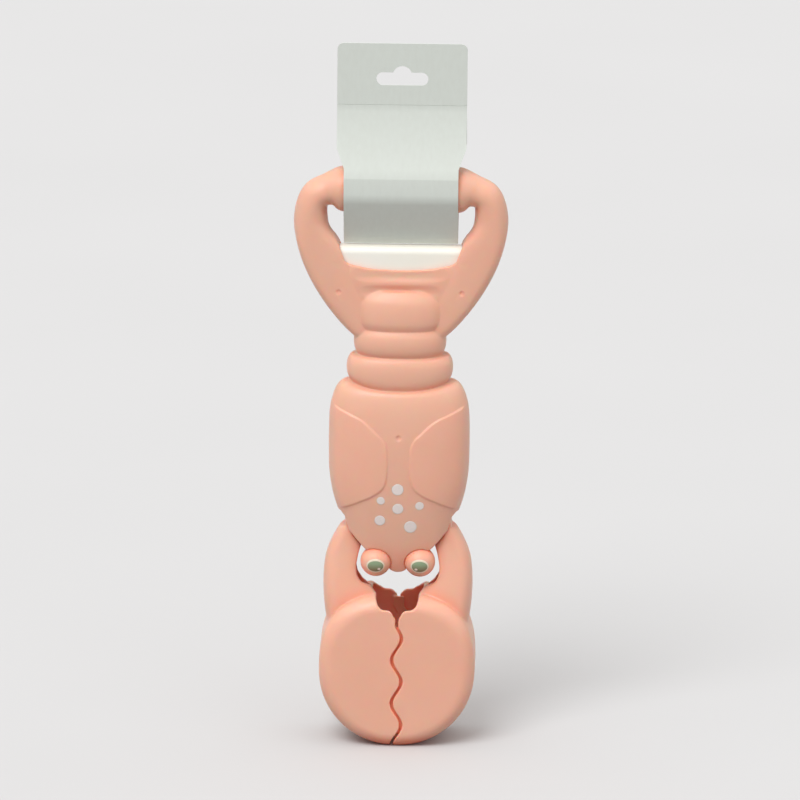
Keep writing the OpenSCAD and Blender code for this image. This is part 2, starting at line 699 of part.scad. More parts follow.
// Extra width of the arm's inner side, at its root and above, and where it changes and ends
arm_flares = [20, 8];
arm_flare_shares = [0.2, 0.3];
arm_flare_end_shares = [0.72, 0.2];
function arm_point(t) =
    let (p0 = [arm_root_shares[0] * claw_w / 2, arm_root_shares[1] * claw_h])
    let (p1 = [arm_bow_shares[0] * claw_w / 2, claw_top + arm_bow_shares[1] * arm_rise])
    let (p2 = [pivot_x, pivot_z])
    p0 * pow(1 - t, 2) + p1 * 2 * t * (1 - t) + p2 * pow(t, 2);
function arm_half(t) =
    mix(arm_w, arm_taper_share * arm_w, ease((t - arm_width_shares[0]) / arm_width_shares[1])) / 2;
function arm_deep(t) = mix(arm_d, shoulder_d, ease((t - arm_depth_shares[0]) / arm_depth_shares[1])) / 2;
function arm_inner(t) = arm_half(t)
    + mix(arm_flares[0], arm_flares[1], ease((t - arm_flare_shares[0]) / arm_flare_shares[1]))
    * (1 - ease((t - arm_flare_end_shares[0]) / arm_flare_end_shares[1]));
module arm() {
    skin(path_rings([for (k = [0 : arm_steps]) let (t = k / arm_steps, p = arm_point(t))
        [p[0], p[1], arm_half(t), arm_deep(t), arm_inner(t)]], arm_square, arm_sides));
}
// The arm is hollow, opened by the mouth and ending below the knuckle
channel_end_share = 0.84;
module arm_channel() {
    steps = arm_steps - 2;
    skin(path_rings([for (k = [0 : steps]) let (t = k / steps * channel_end_share, p = arm_point(t))
        [p[0], p[1], arm_half(t) - claw_wall, arm_deep(t) - claw_wall, arm_inner(t) - claw_wall]],
        arm_square, arm_sides - 2));
}

// Biting edge: a wave from the ground to the mouth, then the mouth's notch and the arm's inner edge
function wave(z) = wave_swing * cos(360 * (z - claw_mid + bite_shift) / wave_len);
bite_shift = 5.5;
wave_top_share = 0.881;
mouth_shares = [[0.087, 0.9375], [0.19, 0.961], [0.28, 0.984], [0.45, 1.001], [0.757, 1.007],
    [0.957, 1.018], [1.06, 1.041], [1.12, 1.072], [1.27, 1.116], [1.496, 1.161]];
arm_edge_shares = [[0.603, 0.184], [0.781, 0.248], [0.881, 0.320], [0.907, 0.393], [0.894, 0.466],
    [0.87, 0.539], [0.785, 0.648], [0.66, 0.761]];
arm_middle_share = 0.5;
function bite_edge(sign) =
    let (top = wave_top_share * mouth_sill, n = ceil(wave_steps * top / wave_len))
    let (arm_x = arm_point(arm_middle_share)[0] - arm_w / 2)
    concat(
        [for (k = [0 : n]) let (z = mix(-over, top, k / n)) [sign * wave(z) + bite_gap / 2, z]],
        [for (s = mouth_shares) [s[0] * mouth_w / 2, s[1] * mouth_sill]],
        [for (s = arm_edge_shares) [mix(mouth_w / 2, arm_x, s[0]), claw_top + s[1] * arm_rise]]);
module bite_cut(sign) {
    edge = bite_edge(sign);
    top = edge[len(edge) - 1];
    along_y(-claw_d) mirror([0, 1, 0]) linear_extrude(2 * claw_d)
        polygon(concat([[-claw_w, -over]], edge, [[top[0], pivot_z], [-claw_w, pivot_z]]));
}

// The mouth is wider at the back
back_mouth_shares = [[0, 0.99], [0.757, 1.0], [1.13, 1.016], [1.62, 1.036], [1.96, 1.09], [2.17, 1.205],
    [2.17, 1.3], [0, 1.3]];
module back_mouth_cut() {
    along_y(claw_edge_r) mirror([0, 1, 0]) linear_extrude(claw_d)
        polygon([for (s = back_mouth_shares) [s[0] * mouth_w / 2, s[1] * mouth_sill]]);
}

// Step in the arm's faces along the casing's edge
relief_shares = [[0.735, 0.648], [1.33, 0.902], [1.62, 1.02], [0.6, 1.02], [0.45, 0.7]];
relief_depth_share = 0.76;
module shoulder_relief() {
    arm_x = arm_point(arm_middle_share)[0] - arm_w / 2;
    near = relief_depth_share * shoulder_d / 2;
    for (from = [-claw_d, near]) along_y(from) mirror([0, 1, 0]) linear_extrude(claw_d - near)
        polygon([for (s = relief_shares) [mix(mouth_w / 2, arm_x, s[0]), claw_top + s[1] * arm_rise]]);
}

// Lips of the left claw that close the biting gap from inside, the back one up to the mouth's notch
lip_w = 4.5;
lip_root = 2.2;
lip_t = 1.2;
lip_low_share = 0.11;
back_lip_share = 0.0625;
function lip_edge(sign, shift, rise) =
    let (low = lip_low_share * claw_h, top = wave_top_share * mouth_sill)
    let (n = ceil(wave_steps * (top - low) / wave_len))
    concat([for (k = [0 : n]) let (z = mix(low, top, k / n)) [sign * wave(z) + bite_gap / 2 + shift, z]],
        rise > 0 ? [[bite_gap / 2 + shift, top + rise]] : []);
module lip(sign, rise) {
    inner = claw_d / 2 - claw_wall;
    along_y(slide_gap - inner) mirror([0, 1, 0]) linear_extrude(lip_t)
        polygon(concat(lip_edge(sign, -lip_w, rise), backwards(lip_edge(sign, lip_root, rise))));
    along_y(-inner - claw_wall / 2) mirror([0, 1, 0]) linear_extrude(claw_wall / 2 + slide_gap + lip_t / 2)
        polygon(concat(lip_edge(sign, slide_gap, rise),
            backwards(lip_edge(sign, lip_root - slide_gap, rise))));
}

// Room for the casing's edge beside the knuckle, over the whole swing
skirt_gap = 1.2;
module skirt_room() {
    for (k = [0 : 4]) translate([pivot_x, 0, pivot_z]) rotate([0, swing * k / 4, 0])
        translate([knuckle_r + slide_gap, -claw_d / 2, apron_rise - skirt_gap]) cube([arm_w, claw_d, arm_w]);
}

module claw_moulding(sign) {
    moulding() union() {
        claw_hollow(sign);
        if (sign < 0) lip(sign, 0);
        if (sign < 0) mirror([0, 1, 0]) lip(sign, back_lip_share * mouth_sill);
    }
}
module claw_hollow(sign) {
    difference() {
        union() {
            scoop();
            difference() {
                arm();
                skirt_room();
                shoulder_relief();
            }
            translate([pivot_x, 0, pivot_z]) cross_pin(knuckle_r, shoulder_d);
        }
        scoop(claw_wall);
        difference() {
            arm_channel();
            translate([pivot_x, 0, pivot_z]) cross_pin(knuckle_r, shoulder_d);
        }
        bite_cut(sign);
        back_mouth_cut();
        translate([-claw_w, -claw_d, -claw_h]) cube([2 * claw_w, 2 * claw_d, claw_h]);
    }
}

// Lever cheeks on both sides of the crosshead
cheek_t = 3;
cheek_gap = strap_t / 2 + slide_gap;
cheek_r = lever_pin_r + claw_wall;
module lever() {
    for (side = [1, -1]) along_y(side > 0 ? cheek_gap : -cheek_gap - cheek_t) hull() {
        translate([pivot_x, -pivot_z, 0]) cylinder(h = cheek_t, r = knuckle_r - slide_gap, $fn = 32);
        translate([lever_pin_x, -lever_pin_z, 0]) cylinder(h = cheek_t, r = cheek_r, $fn = 32);
    }
}

// Bushes in both ends of the knuckle
bush_wall = 1.4;
bush_r = pivot_d / 2 + bush_wall;
bush_h = shoulder_d / 3;
module claw(sign) {
    color(pink) difference() {
        union() {
            claw_moulding(sign);
            lever();
        }
        translate([pivot_x, 0, pivot_z]) {
            cross_pin(pivot_d / 2 + slide_gap, 2 * shoulder_d);
            for (from = [-shoulder_d / 2 - over, shoulder_d / 2 - bush_h])
                along_y(from) cylinder(h = bush_h + over, r = bush_r + run_gap / 2, $fn = 32);
        }
        translate([lever_pin_x, 0, lever_pin_z]) cross_pin(lever_pin_r + run_gap / 2, shoulder_d);
    }
}
module right_claw() claw(1);
module left_claw() mirror([1, 0, 0]) claw(-1);

module lever_pin(side) color(steel) translate([side * lever_pin_x, 0, lever_pin_z])
    cross_pin(lever_pin_r, 2 * (cheek_gap + cheek_t));
module left_lever_pin() lever_pin(-1);
module right_lever_pin() lever_pin(1);

module pivot_bushes(side) {
    color(cream) translate([side * pivot_x, 0, pivot_z]) for (end = [1, -1]) difference() {
        along_y(end * (shoulder_d - bush_h) / 2 - bush_h / 2) cylinder(h = bush_h, r = bush_r, $fn = 32);
        cross_pin(pivot_d / 2 + run_gap, 2 * shoulder_d);
    }
}
module left_pivot_bushes() pivot_bushes(-1);
module right_pivot_bushes() pivot_bushes(1);

// Hang tag: one card folded round the grip, its header glued flat
tag_drop = grip_d / 2 + finger_gap - 2 * free_gap;
header_foot_share = 0.53;
neck_top_share = 0.17;
neck_shoulder_share = 0.3;
tag_corner_r = 4;
crease_share = 0.33;
slot_rise_share = 0.715;
bump_r = 6;
module teardrop(inset) {
    r = grip_d / 2 + free_gap + card - inset;
    tip = card - inset / 2;
    hull() {
        circle(r, $fn = 64);
        translate([0, header_foot_share * tag_rise - 2 * inset]) circle(tip, $fn = 16);
        translate([tip - r, crease_share * grip_d - inset]) circle(tip, $fn = 16);
        translate([0, tip + 2 * inset - tag_drop]) circle(tip, $fn = 16);
    }
}
module tag_fold() {
    difference() {
        union() {
            teardrop(0);
            translate([-card, 0]) square([2 * card, tag_rise]);
        }
        teardrop(card);
    }
}
module tag_outline() {
    w = tag_w / 2;
    n = tag_neck_w / 2;
    neck = neck_top_share * tag_rise;
    shoulder = neck_shoulder_share * tag_rise;
    corner = tag_rise - tag_corner_r;
    difference() {
        union() {
            polygon([[-n, -tag_drop], [n, -tag_drop], [n, neck], [w, shoulder], [w, corner], [-w, corner],
                [-w, shoulder], [-n, neck]]);
            translate([tag_corner_r - w, 0]) square([2 * (w - tag_corner_r), tag_rise]);
            for (x = [-1, 1]) translate([x * (w - tag_corner_r), corner]) circle(tag_corner_r, $fn = 32);
        }
        hang_slot();
    }
}
// Hanging slot: a round-ended bar with a round bump in its middle
module hang_slot() {
    translate([0, slot_rise_share * tag_rise + slot_h / 2]) {
        square([slot_w - slot_h, slot_h], center = true);
        for (x = [-1, 1]) translate([x * (slot_w - slot_h) / 2, 0]) circle(slot_h / 2, $fn = 32);
        translate([0, slot_h / 4]) circle(bump_r, $fn = 32);
    }
}
module hang_tag() {
    color(sage) translate([0, 0, grip_z]) intersection() {
        translate([-tag_w, 0, 0]) rotate([90, 0, 90]) linear_extrude(2 * tag_w) tag_fold();
        along_y(-grip_d) mirror([0, 1, 0]) linear_extrude(2 * grip_d) tag_outline();
    }
}

front_shell();
back_shell();
case_screws();
left_eye();
right_eye();
left_pivot_pin();
right_pivot_pin();
rod_guide();
return_spring();
hang_tag();
trigger();
push_rod();
crosshead();
rod_pin();
trigger_pin();
spring_collar();
left_claw();
right_claw();
left_lever_pin();
right_lever_pin();
left_pivot_bushes();
right_pivot_bushes();
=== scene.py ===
"""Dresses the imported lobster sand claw: casing, claws, eyes, trigger, card tag, fixings and studio."""
import logging
import math
from dataclasses import dataclass
from enum import Enum
from typing import Callable, Sequence

import bpy
import numpy as np
from mathutils import Matrix, Vector


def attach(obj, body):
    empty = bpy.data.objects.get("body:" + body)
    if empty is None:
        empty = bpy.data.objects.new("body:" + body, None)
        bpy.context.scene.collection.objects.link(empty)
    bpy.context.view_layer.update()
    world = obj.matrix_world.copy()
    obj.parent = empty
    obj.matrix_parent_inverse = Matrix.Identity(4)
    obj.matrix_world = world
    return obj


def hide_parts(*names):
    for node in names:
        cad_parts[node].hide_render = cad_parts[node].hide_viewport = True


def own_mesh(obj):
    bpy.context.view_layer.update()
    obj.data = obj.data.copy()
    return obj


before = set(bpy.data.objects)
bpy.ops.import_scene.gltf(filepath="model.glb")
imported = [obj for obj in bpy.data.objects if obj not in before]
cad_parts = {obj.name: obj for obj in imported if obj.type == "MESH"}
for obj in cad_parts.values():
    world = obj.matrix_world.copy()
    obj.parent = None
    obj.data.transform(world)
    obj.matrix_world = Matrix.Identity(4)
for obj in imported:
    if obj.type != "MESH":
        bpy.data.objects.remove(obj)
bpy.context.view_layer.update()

LOG = logging.getLogger("sand_claw")
MM = 0.001
OVERRUN = 1.0

Pair = tuple[float, float]
Triple = tuple[float, float, float]
Material = bpy.types.Material
Socket = bpy.types.NodeSocket


class Body(Enum):
    """The bodies that pieces ride on."""

    CASING = "body"
    TRIGGER = "trigger"
    LEFT = "left_claw"
    RIGHT = "right_claw"


class Slot(Enum):
    """The record's material slots."""

    PINK = "pink_plastic"
    CREAM = "cream_plastic"
    STEEL = "steel"
    CARD = "card"


class Join(Enum):
    """Ways to combine two solids."""

    ADD = "UNION"
    TAKE = "DIFFERENCE"
    KEEP = "INTERSECT"


def ease(t: np.ndarray | float) -> np.ndarray | float:
    """Smooth step from 0 to 1 over the unit interval."""
    u = np.clip(t, 0.0, 1.0)
    return u * u * (3.0 - 2.0 * u)


def mix(a: float, b: float, t: float) -> float:
    """Value between a and b at share t."""
    return a + (b - a) * t


def oval(half_w: float, half_d: float, square: float, sides: int) -> np.ndarray:
    """Points round a rounded-square oval.

    Args:
        half_w: half width along the first axis.
        half_d: half width along the second axis.
        square: 2 for an ellipse, more for squarer corners.
        sides: number of points.

    Returns:
        An array of sides by 2.
    """
    a = np.arange(sides) * 2.0 * math.pi / sides
    c, s = np.cos(a), np.sin(a)
    power = 2.0 / square
    return np.stack([half_w * np.sign(c) * np.abs(c) ** power, half_d * np.sign(s) * np.abs(s) ** power], -1)


def circle(r: float, sides: int) -> np.ndarray:
    """Points round a circle."""
    return oval(r, r, 2.0, sides)


def smooth_rows(rows: Sequence[Sequence[float]], steps: int) -> np.ndarray:
    """Rows of a smooth curve through all given rows.

    Args:
        rows: the rows that the curve passes through.
        steps: number of steps between two rows.

    Returns:
        The finer rows.
    """
    r = np.asarray(rows, float)
    last = len(r) - 1
    out = []
    for i in range(last):
        p0, p1, p2, p3 = r[max(i - 1, 0)], r[i], r[i + 1], r[min(i + 2, last)]
        for k in range(steps):
            t = k / steps
            out.append((2 * p1 + (p2 - p0) * t + (2 * p0 - 5 * p1 + 4 * p2 - p3) * t * t
                        + (3 * p1 - p0 - 3 * p2 + p3) * t ** 3) / 2)
    return np.array(out + [r[last]])


def path_rings(rows: np.ndarray, square: float, sides: int) -> np.ndarray:
    """Rings across a path in the XZ plane.

    Args:
        rows: x, z, outer half width, half depth and inner half width of each ring.
        square: squareness of the ring.
        sides: points round a ring.

    Returns:
        An array of rings by sides by 3.
    """
    out = []
    for j, row in enumerate(rows):
        before, after = rows[max(j - 1, 0)], rows[min(j + 1, len(rows) - 1)]
        run = after[:2] - before[:2]
        tx, tz = run / np.linalg.norm(run)
        ring = oval(1.0, row[3], square, sides)
        across = ring[:, 0] * np.where(ring[:, 0] > 0, row[2], row[4])
        out.append(np.stack([row[0] + tz * across, ring[:, 1], row[1] - tx * across], -1))
    return np.array(out)


class Solid:
    """A closed mesh in millimetres that can be joined, cut and softened."""

    PULL = 0.5
    PUSH = -0.52

    def __init__(self, points: np.ndarray, faces: Sequence[Sequence[int]]) -> None:
        """Keeps the points and turns the faces outwards.

        Args:
            points: vertex positions.
            faces: vertex numbers of each face.
        """
        self.mesh = bpy.data.meshes.new("solid")
        self.mesh.from_pydata(np.asarray(points, float).tolist(), [], [list(f) for f in faces])
        self.mesh.update()
        if self.volume() < 0:
            self.mesh.flip_normals()

    @classmethod
    def of_mesh(cls, mesh: bpy.types.Mesh) -> "Solid":
        """Wraps a mesh that is closed already.

        Args:
            mesh: the closed mesh.

        Returns:
            The solid that holds it.
        """
        solid = cls.__new__(cls)
        solid.mesh = mesh
        return solid

    @classmethod
    def loft(cls, rings: np.ndarray) -> "Solid":
        """Closed skin through rings of equal count.

        Args:
            rings: an array of rings by points by 3.

        Returns:
            The closed solid.
        """
        m, n = rings.shape[:2]
        j, i = np.meshgrid(np.arange(m - 1), np.arange(n), indexing="ij")
        a, b = (j * n + i).ravel(), (j * n + (i + 1) % n).ravel()
        faces = np.stack([a, b, b + n, a + n], -1).tolist()
        faces += [list(range(n - 1, -1, -1)), [(m - 1) * n + k for k in range(n)]]
        return cls(rings.reshape(-1, 3), faces)

    @classmethod
    def prism_y(cls, outline: np.ndarray, low: float, high: float) -> "Solid":
        """Outline in the XZ plane, drawn out along Y."""
        o = np.asarray(outline, float)
        return cls.loft(np.array([np.insert(o, 1, y, axis=1) for y in (low, high)]))

    @classmethod
    def prism_x(cls, outline: np.ndarray, low: float, high: float) -> "Solid":
        """Outline in the YZ plane, drawn out along X."""
        o = np.asarray(outline, float)
        return cls.loft(np.array([np.insert(o, 0, x, axis=1) for x in (low, high)]))

    @classmethod
    def rod_y(cls, x: float, z: float, r: float, low: float, high: float, sides: int = 64) -> "Solid":
        """Round rod along Y."""
        return cls.prism_y(circle(r, sides) + np.array([x, z]), low, high)

    @classmethod
    def rod_z(cls, r: float, low: float, high: float, sides: int = 64) -> "Solid":
        """Round rod on the Z axis."""
        return cls.loft(np.array([np.insert(circle(r, sides), 2, z, axis=1) for z in (low, high)]))

    @classmethod
    def box(cls, low: Sequence[float], high: Sequence[float]) -> "Solid":
        """Plain box between two corners, used for cutting."""
        (x0, y0, z0), (x1, y1, z1) = low, high
        return cls.prism_y(np.array([[x0, z0], [x1, z0], [x1, z1], [x0, z1]]), y0, y1)

    @classmethod
    def ball(cls, centre: Sequence[float], r: float, steps: int = 64) -> "Solid":
        """Ball with its poles along X.

        Args:
            centre: its middle.
            r: its radius.
            steps: number of rings from pole to pole.

        Returns:
            The ball.
        """
        a = np.linspace(0.0, math.pi, steps)[1:-1]
        rings = []
        for t in a:
            o = circle(r * math.sin(t), 2 * steps)
            rings.append(np.insert(o, 0, -r * math.cos(t), axis=1))
        return cls.loft(np.array(rings) + np.asarray(centre, float))

    def volume(self) -> float:
        """Signed volume.

        Returns:
            The volume, below zero where the faces look inwards.
        """
        p = self.points()
        self.mesh.calc_loop_triangles()
        t = np.empty(len(self.mesh.loop_triangles) * 3, np.int32)
        self.mesh.loop_triangles.foreach_get("vertices", t)
        a = p[t.reshape(-1, 3)]
        return float(np.einsum("ij,ij->i", a[:, 0], np.cross(a[:, 1], a[:, 2])).sum() / 6.0)

    def points(self) -> np.ndarray:
        """Vertex positions.

        Returns:
            An array of vertices by 3.
        """
        p = np.empty(len(self.mesh.vertices) * 3)
        self.mesh.vertices.foreach_get("co", p)
        return p.reshape(-1, 3)

    def moved(self, points: np.ndarray) -> "Solid":
        """Sets new vertex positions.

        Args:
            points: the new positions, in the same order.

        Returns:
            The same solid.
        """
        self.mesh.vertices.foreach_set("co", np.ascontiguousarray(points, np.float32).ravel())
        self.mesh.update()
        return self

    def mirrored(self, axis: int = 0) -> "Solid":
        """Mirror image along an axis, still facing outwards.

        Args:
            axis: 0 for X, 1 for Y or 2 for Z.

        Returns:
            The same solid.
        """
        points = self.points()
        points[:, axis] *= -1
        self.moved(points)
        self.mesh.flip_normals()
        return self

    def beside(self, *others: "Solid") -> "Solid":
        """Puts solids that don't touch into one mesh.

        Args:
            others: the solids to add.

        Returns:
            All of them as one solid.
        """
        points, faces = [], []
        for solid in (self, *others):
            start = sum(len(p) for p in points)
            points.append(solid.points())
            faces += [[start + v for v in f.vertices] for f in solid.mesh.polygons]
        return Solid(np.concatenate(points), faces)

    def _changed(self, kind: str, **values: object) -> "Solid":
        """Result of one modifier.

        Args:
            kind: the modifier's type.
            values: its settings.

        Returns:
            The changed solid.
        """
        holder = bpy.data.objects.new("work", self.mesh)
        bpy.context.scene.collection.objects.link(holder)
        modifier = holder.modifiers.new("work", kind)
        for name, value in values.items():
            setattr(modifier, name, value)
        graph = bpy.context.evaluated_depsgraph_get()
        mesh = bpy.data.meshes.new_from_object(holder.evaluated_get(graph))
        bpy.data.objects.remove(holder)
        return Solid.of_mesh(mesh)

    def combined(self, join: Join, other: "Solid") -> "Solid":
        """Joins, cuts or keeps the common part of two solids.

        Args:
            join: how to combine them.
            other: the other solid.

        Returns:
            The combined solid.
        """
        tool = bpy.data.objects.new("tool", other.mesh)
        bpy.context.scene.collection.objects.link(tool)
        result = self._changed("BOOLEAN", operation=join.value, solver="MANIFOLD", object=tool)
        bpy.data.objects.remove(tool)
        return result

    def plus(self, other: "Solid") -> "Solid":
        """Joined with another solid."""
        return self.combined(Join.ADD, other)

    def minus(self, other: "Solid") -> "Solid":
        """Cut by another solid."""
        return self.combined(Join.TAKE, other)

    def within(self, other: "Solid") -> "Solid":
        """Common part with another solid."""
        return self.combined(Join.KEEP, other)

    def softened(self, voxel: float, passes: int) -> "Solid":
        """Even mesh with softly rounded edges, as a moulding has.

        Args:
            voxel: size of its even faces.
            passes: smoothing passes, each rounding the edges a little more.

        Returns:
            The softened solid.
        """
        solid = self._changed("REMESH", mode="VOXEL", voxel_size=voxel, adaptivity=0.0)
        solid.smoothed(passes, self.PULL, 0.0)
        return solid.smoothed(2 * passes, self.PULL, self.PUSH)

    def smoothed(self, passes: int, pull: float, push: float) -> "Solid":
        """Moves each vertex towards its neighbours, then back by push, which keeps the size.

        Args:
            passes: number of passes.
            pull: share of the way to the neighbours' middle.
            push: share of the way back, as a negative value, or 0 for none.

        Returns:
            The same solid.
        """
        edges = np.empty(len(self.mesh.edges) * 2, np.int32)
        self.mesh.edges.foreach_get("vertices", edges)
        a, b = edges.reshape(-1, 2).T
        p = self.points()
        count = np.bincount(a, minlength=len(p)) + np.bincount(b, minlength=len(p))
        for _ in range(passes):
            for weight in (pull, push):
                if not weight:
                    continue
                total = np.stack([np.bincount(a, p[b, k], len(p)) + np.bincount(b, p[a, k], len(p))
                                  for k in range(3)], -1)
                p = p + weight * (total / np.maximum(count, 1)[:, None] - p)
        return self.moved(p)

    def thinned(self, triangles: int) -> "Solid":
        """Fewer faces where the surface is plain, at most so many triangles.

        Args:
            triangles: the most triangles to keep.

        Returns:
            The thinned solid, or the same one if it has no more than that.
        """
        now = sum(len(f.vertices) - 2 for f in self.mesh.polygons)
        if now <= triangles:
            return self
        return self._changed("DECIMATE", decimate_type="COLLAPSE", ratio=triangles / now)


def show(solid: Solid, name: str, finish: Material, body: Body, slot: Slot,
         *replaced: str) -> bpy.types.Object:
    """Turns a solid into a finished piece in metres.

    Args:
        solid: the shape, in millimetres.
        name: the piece's name.
        finish: its material.
        body: the body that it moves with.
        slot: the record's slot for its finish; not used.
        replaced: CAD nodes that it stands for.

    Returns:
        The piece.
    """
    mesh = solid.mesh
    mesh.transform(Matrix.Scale(MM, 4))
    mesh.name = name
    mesh.materials.clear()
    mesh.materials.append(finish)
    mesh.shade_smooth()
    piece = bpy.data.objects.new(name, mesh)
    bpy.context.scene.collection.objects.link(piece)
    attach(piece, body.value)
    if replaced:
        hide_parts(*replaced)
    LOG.info("%s: %d faces on %s", name, len(mesh.polygons), body.value)
    return piece


@dataclass(frozen=True)
class Moulding:
    """Satin plastic, pink unless told otherwise, with a fine mould grain, a little light in its walls and
    painted shade in its hollows.

    Here and in the other finishes a noise is a scale and a detail, and a relief is a strength and a height.
    """

    name: str = "pink_satin_plastic"
    colour: Triple = (0.935, 0.485, 0.355)
    shade: Triple = (0.925, 0.47, 0.34)
    blotch: Pair = (24.0, 3.0)
    blotch_span: Pair = (0.35, 0.6)
    # deep is a painted colour for hollows and joints: painted shade and painted red glow in place of light
    # through the walls
    deep: Triple = (0.97, 0.19, 0.085)
    painted_shade_reach: float = 0.009
    wear: Pair = (160.0, 3.0)
    roughness: Pair = (0.36, 0.46)
    specular: float = 0.48
    glow: float = 0.7
    glow_radius: Triple = (1.0, 0.2, 0.09)
    glow_depth: float = 0.005
    grain: Pair = (1900.0, 2.0)
    relief: Pair = (0.05, 0.0002)

    def material(self) -> Material:
        """Builds the node material.

        Returns:
            The material.
        """
        pen = NodePen(self.name)
        pen.ramp_colour(pen.noise(*self.blotch), self.shade, self.colour, *self.blotch_span)
        # paints shade and red glow into hollows and joints from an occlusion mask
        pen.painted_hollow_shade(self.deep, self.painted_shade_reach)
        pen.bump(pen.noise(*self.grain), *self.relief)
        pen.ramp_roughness(pen.noise(*self.wear), *self.roughness)
        pen.set("Specular IOR Level", self.specular)
        pen.set("Subsurface Weight", self.glow)
        pen.set("Subsurface Radius", self.glow_radius)
        pen.set("Subsurface Scale", self.glow_depth)
        return pen.material


@dataclass(frozen=True)
class Card:
    """Uncoated sage card with fine paper fibres."""

    name: str = "sage_card"
    colour: Triple = (0.68, 0.717, 0.672)
    fibre: Triple = (0.66, 0.693, 0.647)
    fibres: Pair = (420.0, 6.0)
    fibre_run: Triple = (1.0, 1.0, 0.35)
    fibre_span: Pair = (0.3, 0.7)
    grain: Pair = (1400.0, 4.0)
    relief: Pair = (0.06, 0.0002)
    wear: Pair = (90.0, 2.0)
    roughness: Pair = (0.66, 0.8)
    specular: float = 0.3

    def material(self) -> Material:
        """Builds the node material.

        Returns:
            The material.
        """
        pen = NodePen(self.name)
        pen.ramp_colour(pen.noise(*self.fibres, self.fibre_run), self.fibre, self.colour, *self.fibre_span)
        pen.bump(pen.noise(*self.grain), *self.relief)
        pen.ramp_roughness(pen.noise(*self.wear), *self.roughness)
        pen.set("Specular IOR Level", self.specular)
        return pen.material


@dataclass(frozen=True)
class Steel:
    """Bright zinc-plated steel with faint drawing marks."""

    name: str = "plated_steel"
    colour: Triple = (0.66, 0.67, 0.69)
    shade: Triple = (0.55, 0.56, 0.58)
    marks: Pair = (300.0, 4.0)
    marks_run: Triple = (1.0, 0.15, 1.0)
    marks_span: Pair = (0.3, 0.7)
    wear: Pair = (800.0, 3.0)
    wear_run: Triple = (1.0, 0.1, 1.0)
    roughness: Pair = (0.24, 0.42)

    def material(self) -> Material:
        """Builds the node material.

        Returns:
            The material.
        """
        pen = NodePen(self.name)
        pen.ramp_colour(pen.noise(*self.marks, self.marks_run), self.shade, self.colour, *self.marks_span)
        pen.ramp_roughness(pen.noise(*self.wear, self.wear_run), *self.roughness)
        pen.set("Metallic", 1.0)
        return pen.material


@dataclass(frozen=True)
class Paint:
    """Pad-printed paint with a slightly uneven film."""

    name: str
    colour: Triple
    shade: Triple
    film: Pair = (900.0, 4.0)
    film_span: Pair = (0.3, 0.6)
    grain: Pair = (2200.0, 2.0)
    relief: Pair = (0.04, 0.0001)
    wear: Pair = (500.0, 2.0)
    roughness: Pair = (0.37, 0.48)
    specular: float = 0.35

    def material(self) -> Material:
        """Builds the node material.

        Returns:
            The material.
        """
        pen = NodePen(self.name)
        pen.ramp_colour(pen.noise(*self.film), self.shade, self.colour, *self.film_span)
        pen.bump(pen.noise(*self.grain), *self.relief)
        pen.ramp_roughness(pen.noise(*self.wear), *self.roughness)
        pen.set("Specular IOR Level", self.specular)
        return pen.material


